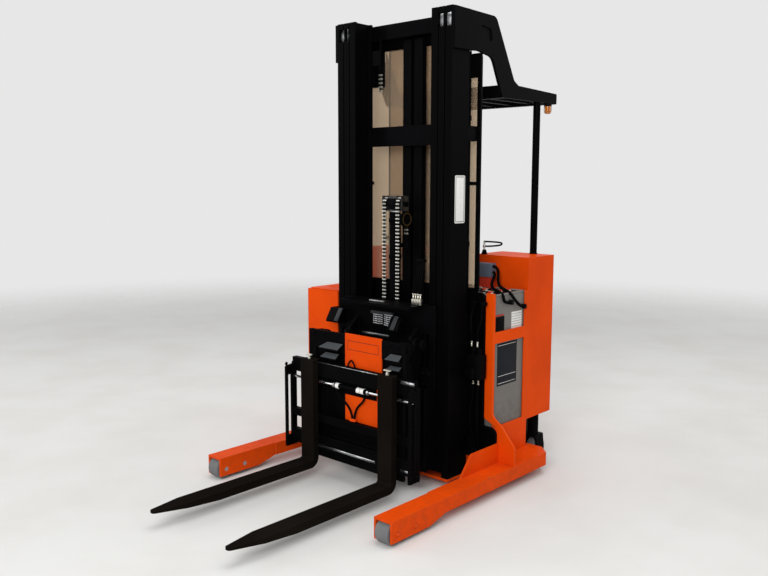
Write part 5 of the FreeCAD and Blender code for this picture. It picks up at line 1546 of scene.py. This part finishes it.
@dataclass
class Cabin(Assembly):
    """The operator's place: mat, pedal, instruments, handle, steering wheel's hub and backrest."""

    mat: tuple = ((-0.34, 0.575), (0.14, 0.862))
    floor: float = 0.1902
    handle: Point = (0.203, 0.568, 1.172)
    wheel: Point = (-0.508, 0.684, 1.228)
    gauge_x: float = -0.19
    key_x: float = -0.1
    stop_x: float = 0.02
    button_x: tuple = (-0.055, -0.028)
    dash: tuple = ((0.557, 0.9), (0.652, 0.952))

    def build(self) -> None:
        """Makes the pieces."""
        self.mat_ribs()
        self.pedal()
        self.instruments()
        self.control_handle()
        self.steering_hub()
        self.backrest()

    def mat_ribs(self) -> None:
        """A ribbed rubber mat."""
        (x0, y0), (x1, y1) = self.mat
        sheet = box((x0, y0, self.floor), (x1, y1, self.floor + 0.003), 0.001, 0.012)
        ribs = slats((x0 + 0.008, y0 + 0.008, self.floor + 0.0028), (x1 - 0.008, y1 - 0.008, self.floor + 0.0062),
            34, "x", 0.5, 0.0012)
        self.add("floor_mat", sheet + ribs, Finish.MAT)

    def pedal(self) -> None:
        """The deadman pedal: a plate on its pivot with a ribbed pad."""
        low, high = (-0.15, 0.65, 0.1965), (-0.02, 0.765, 0.2065)
        plate = box(low, high, 0.002, 0.012)
        feet = joined([box((x - 0.006, 0.652, 0.1935), (x + 0.006, 0.668, 0.1975), 0.001) for x in (-0.135, -0.035)])
        self.add("pedal_plate", plate + feet, Finish.STEEL)
        pad = box((low[0] + 0.006, low[1] + 0.006, high[2]), (high[0] - 0.006, high[1] - 0.006, high[2] + 0.004),
            0.002, 0.01)
        pad += slats((low[0] + 0.012, low[1] + 0.012, high[2] + 0.0035),
            (high[0] - 0.012, high[1] - 0.012, high[2] + 0.0068), 12, "y", 0.5, 0.0012)
        self.add("pedal_pad", pad, Finish.RUBBER)

    def instruments(self) -> None:
        """Gauge, key switch, buttons and stop knob on the sloped dashboard."""
        (y0, z0), (y1, z1) = self.dash
        slope = math.atan2(z1 - z0, y1 - y0)
        turn = np.array([[1, 0, 0], [0, math.cos(slope), math.sin(slope)], [0, -math.sin(slope), math.cos(slope)]])
        centre = np.array([0, (y0 + y1) / 2, (z0 + z1) / 2])

        def seated(shape: Shape, x: float) -> Shape:
            """A shape turned to the slope and moved along it."""
            return shape.turned(turn).moved(centre + [x, 0, 0] + turn @ [0, 0, 0.0008])

        panel = seated(box((-0.2, -0.036, 0), (0.12, 0.036, 0.002), 0.0008, 0.008), -0.06)
        self.add("dash_panel", panel, Finish.PLASTIC)
        dial = lathe([(0.026, 0.002), (0.0275, 0.004), (0.0275, 0.01), (0.0245, 0.012), (0.0235, 0.009)], "z", 32)
        self.add("dash_gauge_rim", seated(dial, self.gauge_x), Finish.CHROME)
        face = lathe([(0.0235, 0.0086), (0.0235, 0.0092), (0.0, 0.0092)], "z", 32)
        self.add("dash_gauge_face", seated(face, self.gauge_x), Finish.WHITE_LABEL)
        needle = box((-0.0012, -0.002, 0.0095), (0.0012, 0.018, 0.0102), 0.0003)
        tick = box((-0.0006, 0.0185, 0.0093), (0.0006, 0.0222, 0.0097), 0.0001)
        angles = np.radians(np.linspace(-120, 120, 9))
        spins = np.array([[[math.cos(a), -math.sin(a), 0], [math.sin(a), math.cos(a), 0], [0, 0, 1]] for a in angles])
        marks = tick.copies(np.zeros((9, 3)), spins)
        self.add("dash_gauge_needle", seated(needle + marks, self.gauge_x), Finish.PLASTIC)
        key = lathe([(0.013, 0.002), (0.013, 0.006), (0.009, 0.008), (0.009, 0.011), (0.0, 0.011)])
        key += box((-0.0012, -0.008, 0.01), (0.0012, 0.008, 0.032), 0.0006)
        self.add("dash_key", seated(key, self.key_x), Finish.CHROME)
        stop = lathe([(0.012, 0.002), (0.012, 0.016), (0.02, 0.019), (0.0215, 0.024), (0.018, 0.03), (0.006, 0.0325),
            (0.0, 0.0325)], "z", 28)
        self.add("dash_stop", seated(stop, self.stop_x), Finish.PLUG)
        button = lathe([(0.009, 0.002), (0.009, 0.006), (0.0065, 0.0065), (0.0065, 0.01), (0.0, 0.0105)], "z", 20)
        self.add("dash_buttons", [seated(button, x) for x in self.button_x], Finish.RUBBER)

    def control_handle(self) -> None:
        """The travel and lift handle: a chromed stem in a boot, with a loop to grip."""
        x, y, z = self.handle
        stem = lathe([(0.0062, z), (0.0062, z + 0.071)], "z", 18).moved((x, y, 0))
        collar = lathe([(0.009, z + 0.04), (0.01, z + 0.042), (0.01, z + 0.052), (0.0075, z + 0.055)],
            "z", 18).moved((x, y, 0))
        self.add("handle_stem", stem + collar, Finish.CHROME, replaces=["operator_controls"])
        folds = np.linspace(0, 1, 25)
        radius = 0.0175 - 0.008 * folds + 0.0016 * np.cos(folds * 12 * math.pi)
        boot = lathe(np.stack([radius, z + 0.0004 + 0.026 * folds], 1)).moved((x, y, 0))
        self.add("handle_boot", boot, Finish.RUBBER)
        loop = [(x - 0.003, y, z + 0.072), (x + 0.056, y, z + 0.0725), (x + 0.104, y, z + 0.071),
            (x + 0.118, y, z + 0.065), (x + 0.104, y, z + 0.056), (x + 0.056, y, z + 0.049),
            (x - 0.003, y, z + 0.044)]
        self.add("handle_grip", pipe(loop, 0.0048, (0, 1, 0), 14), Finish.PLASTIC)

    def steering_hub(self) -> None:
        """Cap and spinner of the steering wheel."""
        x, y, z = self.wheel
        cap = lathe([(0.024, z - 0.008), (0.0255, z - 0.004), (0.022, z + 0.002), (0.01, z + 0.0045),
            (0.0, z + 0.0048)], "z", 32).moved((x, y, 0))
        self.add("steering_cap", cap, Finish.PLASTIC, body="steering_wheel")

    def backrest(self) -> None:
        """A padded cushion on the left pod's inner side, swelled by pressure, with a seam round it."""
        low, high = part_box("backrest_pad")
        edge = 0.006
        shape = box((low.x + 0.001, low.y + edge - MAST_Y, low.z + edge),
            (high.x - edge, high.y - edge - MAST_Y, high.z - edge), 0.014, 0.024, "x")
        pad = self.add("backrest_cushion", shape, Finish.PAD, replaces=["backrest_pad"], smooth=180)
        self.swell(pad, (low, high))
        mesh = pad.data
        rounder = pad.modifiers.new("round", "SUBSURF")
        rounder.levels = rounder.render_levels = 1
        mesh.shade_smooth()
        middle = (low.z + high.z) / 2
        rim = [(y - MAST_Y, z) for y, z in ((low.y + 0.003, low.z + 0.03), (low.y + 0.003, middle),
            (low.y + 0.003, high.z - 0.03), (low.y + 0.03, high.z - 0.003), (high.y - 0.03, high.z - 0.003),
            (high.y - 0.003, high.z - 0.03), (high.y - 0.003, middle), (high.y - 0.003, low.z + 0.03),
            (high.y - 0.03, low.z + 0.003), (low.y + 0.03, low.z + 0.003))]
        points = [(low.x + 0.012, y, z) for y, z in rim]
        path = curve_through(points + points[:1], 6)[:-1]
        tangent = np.roll(path, -1, 0) - np.roll(path, 1, 0)
        tangent /= np.linalg.norm(tangent, axis=1, keepdims=True)
        side = np.cross(tangent, [1.0, 0, 0])
        ring = circle(0.0028, 8)
        rings = path[:, None] + ring[None, :, :1] * side[:, None] + ring[None, :, 1:] * np.array([1.0, 0, 0])
        self.add("backrest_piping", loft(rings, closed=True), Finish.RUBBER)

    @staticmethod
    def swell(pad: bpy.types.Object, limits: tuple[Vector, Vector]) -> None:
        """Inflates the cushion with Cloth, keeps its back flat and its faces inside the limits.

        Args:
            pad: the cushion.
            limits: the CAD pad's lowest and highest corners.
        """
        scene = bpy.context.scene
        remesh = pad.modifiers.new("remesh", "REMESH")
        remesh.mode, remesh.voxel_size = "VOXEL", 0.006
        cloth = pad.modifiers.new("cloth", "CLOTH")
        cloth.settings.use_pressure = True
        cloth.settings.uniform_pressure_force = 4.0
        cloth.settings.effector_weights.gravity = 0.0
        cloth.settings.quality = 6
        for number in range(1, 21):
            scene.frame_set(number)
        graph = bpy.context.evaluated_depsgraph_get()
        evaluated = bpy.data.meshes.new_from_object(pad.evaluated_get(graph))
        pad.modifiers.clear()
        low, high = limits
        count = len(evaluated.vertices)
        places = np.empty(count * 3)
        evaluated.vertices.foreach_get("co", places)
        places = places.reshape(-1, 3)
        centre = (np.array(low) + np.array(high)) / 2
        half = (np.array(high) - np.array(low)) / 2 + [0.004, 0.004, 0.004]
        reach = (places - centre) / half
        places = centre + half * np.sign(reach) * np.minimum(np.abs(reach), 1.0)
        places[:, 0] = np.maximum(places[:, 0], low.x + 0.0004)
        evaluated.vertices.foreach_set("co", places.ravel())
        evaluated.materials.clear()
        evaluated.materials.append(Finish.PAD.material)
        pad.data = evaluated
        scene.frame_set(1)


# ---- wheels and guard
@dataclass
class Wheels(Assembly):
    """Tread, hubs and bearings of the wheels."""

    drive: Point = (-0.495, 0.735, 0.115)
    drive_radius: float = 0.115
    drive_half: float = 0.045
    grooves: int = 26
    caster: Point = (0.466, 0.734, 0.062)
    groove: tuple = (0.004, 0.13, 0.2)
    skew: float = 0.9
    nut_circle: float = 0.058

    def build(self) -> None:
        """Makes the pieces."""
        self.drive_tyre()
        x, y, z = self.caster
        disc = lathe([(0.01, 0.0), (0.03, 0.001), (0.033, 0.003), (0.044, 0.002), (0.046, 0.0)], "x", 32)
        self.add("caster_discs", disc.moved((x + 0.0252, y, z)) + disc.mirrored().moved( (x - 0.0252, y, z)),
            Finish.STEEL, body="caster_wheel")
        for body in ("right_front", "right_rear", "left_front", "left_rear"):
            low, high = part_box(f"load_wheel_{body}")
            centre = ((low.y + high.y) / 2 - MAST_Y, (low.z + high.z) / 2)
            seal = lathe([(0.0135, 0.0), (0.026, 0.0), (0.027, 0.0012), (0.0255, 0.0024), (0.0145, 0.002)], "x", 28)
            pair = seal.moved((high.x + 0.0001, *centre)) + seal.mirrored().moved((low.x - 0.0001, *centre))
            self.add(f"wheel_seals_{body}", pair, Finish.STEEL, body=f"load_wheel_{body}")

    def drive_tyre(self) -> None:
        """A grooved tyre: radius(a, u) = R - depth * groove(a + skew |u|), u from -1 to 1 across it."""
        across = np.array([-1.0, -0.97, -0.88, -0.6, -0.3, 0.0, 0.3, 0.6, 0.88, 0.97, 1.0])
        shoulder = np.array([0.012, 0.005, 0.001, 0, 0, 0, 0, 0, 0.001, 0.005, 0.012])
        turn = np.linspace(0, math.tau, self.grooves * 8, endpoint=False)
        phase = (turn[None] * self.grooves / math.tau + self.skew * np.abs(across[:, None])) % 1.0
        depth, half, land = self.groove
        cut = depth * (np.abs(phase - 0.5) < half) * (np.abs(across[:, None]) > land)
        radius = self.drive_radius - shoulder[:, None] - cut
        rings = np.stack([np.broadcast_to((across * self.drive_half)[:, None], radius.shape), radius * np.cos(turn),
            radius * np.sin(turn)], 2)
        well = np.array([[0.082, -1.0], [0.078, -0.72], [0.04, -0.7], [0.04, 0.7], [0.078, 0.72], [0.082, 1.0]])
        inner = np.stack([np.broadcast_to((well[::-1, 1] * self.drive_half)[:, None], (6, len(turn))),
            well[::-1, :1] * np.cos(turn), well[::-1, :1] * np.sin(turn)], 2)
        tyre = loft(np.concatenate([rings, inner]), closed=True).moved(self.drive)
        self.add("drive_tyre", tyre, Finish.DRIVE, body="drive_wheel", replaces=["drive_wheel"])
        hub = lathe([(0.0, -0.036), (0.036, -0.036), (0.0405, -0.031), (0.0805, -0.029), (0.0805, 0.029),
            (0.0405, 0.031), (0.036, 0.036), (0.0, 0.036)], "x", 40)
        nuts = joined([bolts([(side * 0.03, *place) for place in circle(self.nut_circle, 6)], "x", 0.009, side)
            for side in SIDES])
        self.add("drive_hub", hub.moved(self.drive), Finish.TYRE_WALL, body="drive_wheel")
        self.add("drive_nuts", nuts.moved(self.drive), Finish.ZINC, body="drive_wheel")


@dataclass
class Guard(Assembly):
    """The lamp under the overhead guard, and the guard's post feet."""

    lamp: Point = (0.402, 0.88)
    low: float = 1.96
    high: float = 2.0178
    post: Point = (0.393, 0.78)
    rib_angles: tuple = (45, 135, 225, 315)

    def build(self) -> None:
        """Makes the pieces."""
        x, y = self.lamp
        z0, z1 = self.low, self.high
        lens = lathe([(0.0, z0 + 0.001), (0.01, z0 + 0.0015), (0.0165, z0 + 0.006), (0.0185, z0 + 0.014),
            (0.0192, z0 + 0.036), (0.0192, z1 - 0.014)], "z", 36).moved((x, y, 0))
        self.add("lamp_lens", lens, Finish.AMBER, replaces=["warning_lamp"])
        base = lathe([(0.0215, z1 - 0.014), (0.0218, z1 - 0.012), (0.0218, z1 - 0.002), (0.0205, z1)],
            "z", 36).moved((x, y, 0))
        self.add("lamp_base", base, Finish.PLASTIC)
        ribs = [pipe([(x + 0.0205 * math.cos(a), y + 0.0205 * math.sin(a), z1 - 0.01),
            (x + 0.0212 * math.cos(a), y + 0.0212 * math.sin(a), z0 + 0.016),
            (x + 0.012 * math.cos(a), y + 0.012 * math.sin(a), z0 + 0.001)], 0.0009, (0, 0.1, 1), 6, 5)
            for a in np.radians(self.rib_angles)]
        self.add("lamp_cage", ribs)
        px, py = self.post
        ring = weld([(px + 0.0215 * math.cos(a), py + 0.0215 * math.sin(a), 1.1735)
            for a in np.linspace(0, 1.94 * math.pi, 14)], 0.0024)
        self.add("post_feet", both(ring))


@dataclass
class DriveTrim(Assembly):
    """Bearing rings with their bolts above the drive unit and the caster."""

    drive: Point = (-0.495, 0.735)
    caster: Point = (0.466, 0.706)

    def build(self) -> None:
        """Makes the pieces."""
        for (x, y), body, name, reach in ((self.drive, "drive_knuckle", "drive", 0.052),
                                          (self.caster, "caster_fork", "caster", 0.034)):
            ring = lathe([(reach - 0.014, 0.3), (reach, 0.3005), (reach, 0.3085), (reach - 0.014, 0.309)],
                "z", 36).moved((x, y, -0.0095))
            spots = [(x + (reach - 0.007) * math.cos(a), y + (reach - 0.007) * math.sin(a), 0.2905)
                for a in np.linspace(0, math.tau, 6, endpoint=False)]
            ring += bolts(spots, "z", 0.0045, -1)
            self.add(f"{name}_bearing_ring", ring, Finish.STEEL, body=body)

ASSEMBLIES: tuple[Assembly, ...] = (FreeLift(), Mast(), Screen(), CarriageTrim(), ReachTrim(), ForkTrim(), Battery(),
                                    SideTrim(), BodyTrim(), Cabin(), Wheels(), Guard(), DriveTrim())


# ---- cords
@dataclass
class Cable:
    """A cable or hose whose axis is a smooth curve drawn by its route's points."""

    name: str
    node: str
    body: str
    route: Sequence[Point]
    radius: float
    length: float

    def build(self) -> None:
        data = bpy.data.curves.new(self.name, "CURVE")
        data.dimensions = "3D"
        data.bevel_depth = self.radius
        data.bevel_resolution = 5
        data.use_fill_caps = True
        data.resolution_u = 16
        line = data.splines.new("NURBS")
        line.points.add(len(self.route) - 1)
        for point, place in zip(line.points, self.route):
            point.co = (*spot(*place), 1.0)
        line.order_u = 3
        line.use_endpoint_u = True
        piece = bpy.data.objects.new(self.name, data)
        bpy.context.scene.collection.objects.link(piece)
        piece.data.materials.append(Finish.RUBBER.material)
        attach(piece, self.body)
        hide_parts(self.node)


CABLES = (
    Cable("connector_cable_upper", "battery_cable_upper", "chassis",
          ((0.297, 0.524, 1.112), (0.335, 0.524, 1.112), (0.352, 0.485, 1.01), (0.514, 0.366, 1.004),
           (0.514, 0.412, 0.958), (0.514, 0.48, 0.912), (0.514, 0.505, 0.912)), 0.008, 0.465),
    Cable("connector_cable_lower", "battery_cable_lower", "chassis",
          ((0.297, 0.524, 1.078), (0.318, 0.524, 1.078), (0.336, 0.434, 1.006), (0.514, 0.306, 1.003),
           (0.514, 0.312, 0.947), (0.514, 0.374, 0.947)), 0.008, 0.425),
    Cable("shift_hose_left", "sideshift_hose_left", "reach_frame",
          ((-0.106, -0.305, 0.5037), (-0.106, -0.305, 0.4737), (-0.022, -0.305, 0.4257),
           (0.006, -0.305, 0.377), (0.006, -0.305, 0.362)), 0.006, 0.19),
    Cable("shift_hose_right", "sideshift_hose_right", "reach_frame",
          ((0.097, -0.305, 0.5037), (0.097, -0.305, 0.4737), (0.0389, -0.305, 0.4257),
           (0.022, -0.305, 0.377), (0.022, -0.305, 0.362)), 0.006, 0.168),
)


# ---- CAD nodes' looks
CAD_FINISH = {finish.slot: finish for finish in reversed(Finish)}     # each slot's first finish
NODE_FINISH = {"free_lift_crosshead": Finish.HEAD, "battery_connector": Finish.CONNECTOR,
               "fork_left": Finish.FORK, "fork_right": Finish.FORK, "chain_sheaves": Finish.ROLLER,
               "operator_floor": Finish.MAT}


def dress_cad() -> None:
    """Gives each CAD node the finish of its slot, or its own."""
    slots = {part["node"]: part["material_slot"] for part in frame["record"]["subparts"]}
    for name, node in frame["nodes"].items():
        finish = NODE_FINISH.get(name, CAD_FINISH[slots[name]])
        node.data.materials.clear()
        node.data.materials.append(finish.material)
        node.data.shade_smooth()
        node.data.set_sharp_from_angle(angle=math.radians(32))


# ---- studio
@dataclass
class Studio:
    """Camera, soft lamps, a pale floor and the backdrop's colour."""

    eye: Point = (2.91, -3.0775, 1.5835)
    azimuth: float = 42.239
    pitch: float = 7.427
    roll: float = 0.1
    lens: float = 38.53
    floor_radius: float = 30.0
    floor_sides: int = 96
    fade: tuple[float, float] = (4.5, 10.0)
    backdrop: float = 0.8
    ambient: float = 0.42
    lamps: tuple = (("key", (3.6, -6.4, 4.0), (0, -0.2, 0.9), 3.5, 330),
        ("fill", (-6.0, -3.5, 3.6), (0, 0, 1.0), 4.0, 120), ("top", (0.5, 0.5, 6.0), (0, 0, 0), 5.0, 170),
        ("back", (3.5, 6.0, 4.0), (0, 0.5, 1.0), 4.0, 70))

    def camera(self) -> None:
        """Sets the camera; azimuth 0 looks along +Y and grows towards -X."""
        data = bpy.data.cameras.new("viewpoint")
        data.lens = self.lens
        data.sensor_width = 36
        data.clip_end = 100
        camera = bpy.data.objects.new("viewpoint", data)
        camera.location = self.eye
        turn = (Matrix.Rotation(math.radians(self.azimuth), 4, "Z") @ Matrix.Rotation(math.radians(90 - self.pitch),
            4, "X") @ Matrix.Rotation(math.radians(self.roll), 4, "Z"))
        camera.rotation_euler = turn.to_euler()
        bpy.context.scene.collection.objects.link(camera)
        bpy.context.scene.camera = camera

    def lamp(self, name: str, place: Point, aim: Point, size: float, power: float) -> None:
        """A square soft lamp that faces a point.

        Args:
            name: its name.
            place: where it stands.
            aim: what it faces.
            size: length of its sides.
            power: in watts.
        """
        data = bpy.data.lights.new(name, "AREA")
        data.size, data.energy = size, power
        lamp = bpy.data.objects.new(name, data)
        lamp.location = place
        lamp.rotation_euler = (Vector(aim) - Vector(place)).to_track_quat("-Z", "Y").to_euler()
        bpy.context.scene.collection.objects.link(lamp)

    def floor(self) -> None:
        """A pale disc under the truck."""
        rim = np.column_stack([circle(self.floor_radius, self.floor_sides), np.zeros(self.floor_sides)])
        mesh = bpy.data.meshes.new("floor")
        mesh.from_pydata(rim, [], [list(range(self.floor_sides))])
        n = Nodes("floor_paint")
        tone = n.mix(n.noise(1.4, 5).step(0.35, 0.7), "E0E0DE", "DAD9D6")
        place = n.add("ShaderNodeVectorMath", {"operation": "LENGTH"}, {0: n.place()}, "Value")
        mesh.materials.append(n.finish(Base_Color=tone, Roughness=n.noise(7, 4) * 0.1 + 0.6, Specular_IOR_Level=0.1,
            Alpha=place.step(self.fade[1], self.fade[0])))
        floor = bpy.data.objects.new("floor", mesh)
        bpy.context.scene.collection.objects.link(floor)

    def world(self) -> None:
        """A soft room: even light, and a pale backdrop to the camera and in what mirrors or lets it through."""
        world = bpy.data.worlds.new("room")
        n = Nodes(world)
        rays = n.add("ShaderNodeLightPath").socket.node.outputs
        seen, through, shiny = (Sock(n, rays[f"Is {kind} Ray"]) for kind in ("Camera", "Transmission", "Glossy"))
        level = n.add("ShaderNodeMapRange", None, {"Value": seen.larger(through).larger(shiny),
            "To Min": self.ambient, "To Max": self.backdrop})
        sky = n.add("ShaderNodeBackground", None, {"Color": (1, 1, 1, 1), "Strength": level})
        n.add("ShaderNodeOutputWorld", None, {"Surface": sky}, None)
        bpy.context.scene.world = world

    def build(self) -> None:
        """All of it."""
        bpy.context.scene.view_settings.view_transform = "Standard"
        self.camera()
        self.floor()
        self.world()
        for lamp in self.lamps:
            self.lamp(*lamp)


# ---- the truck
def main() -> None:
    """Builds the looks in order."""
    logging.basicConfig(level=logging.INFO, format="%(message)s")
    dress_cad()
    for cable in CABLES:
        cable.build()
    for assembly in ASSEMBLIES:
        LOG.info("building %s", type(assembly).__name__)
        assembly.build()
    Studio().build()


if __name__ == "__main__":
    main()
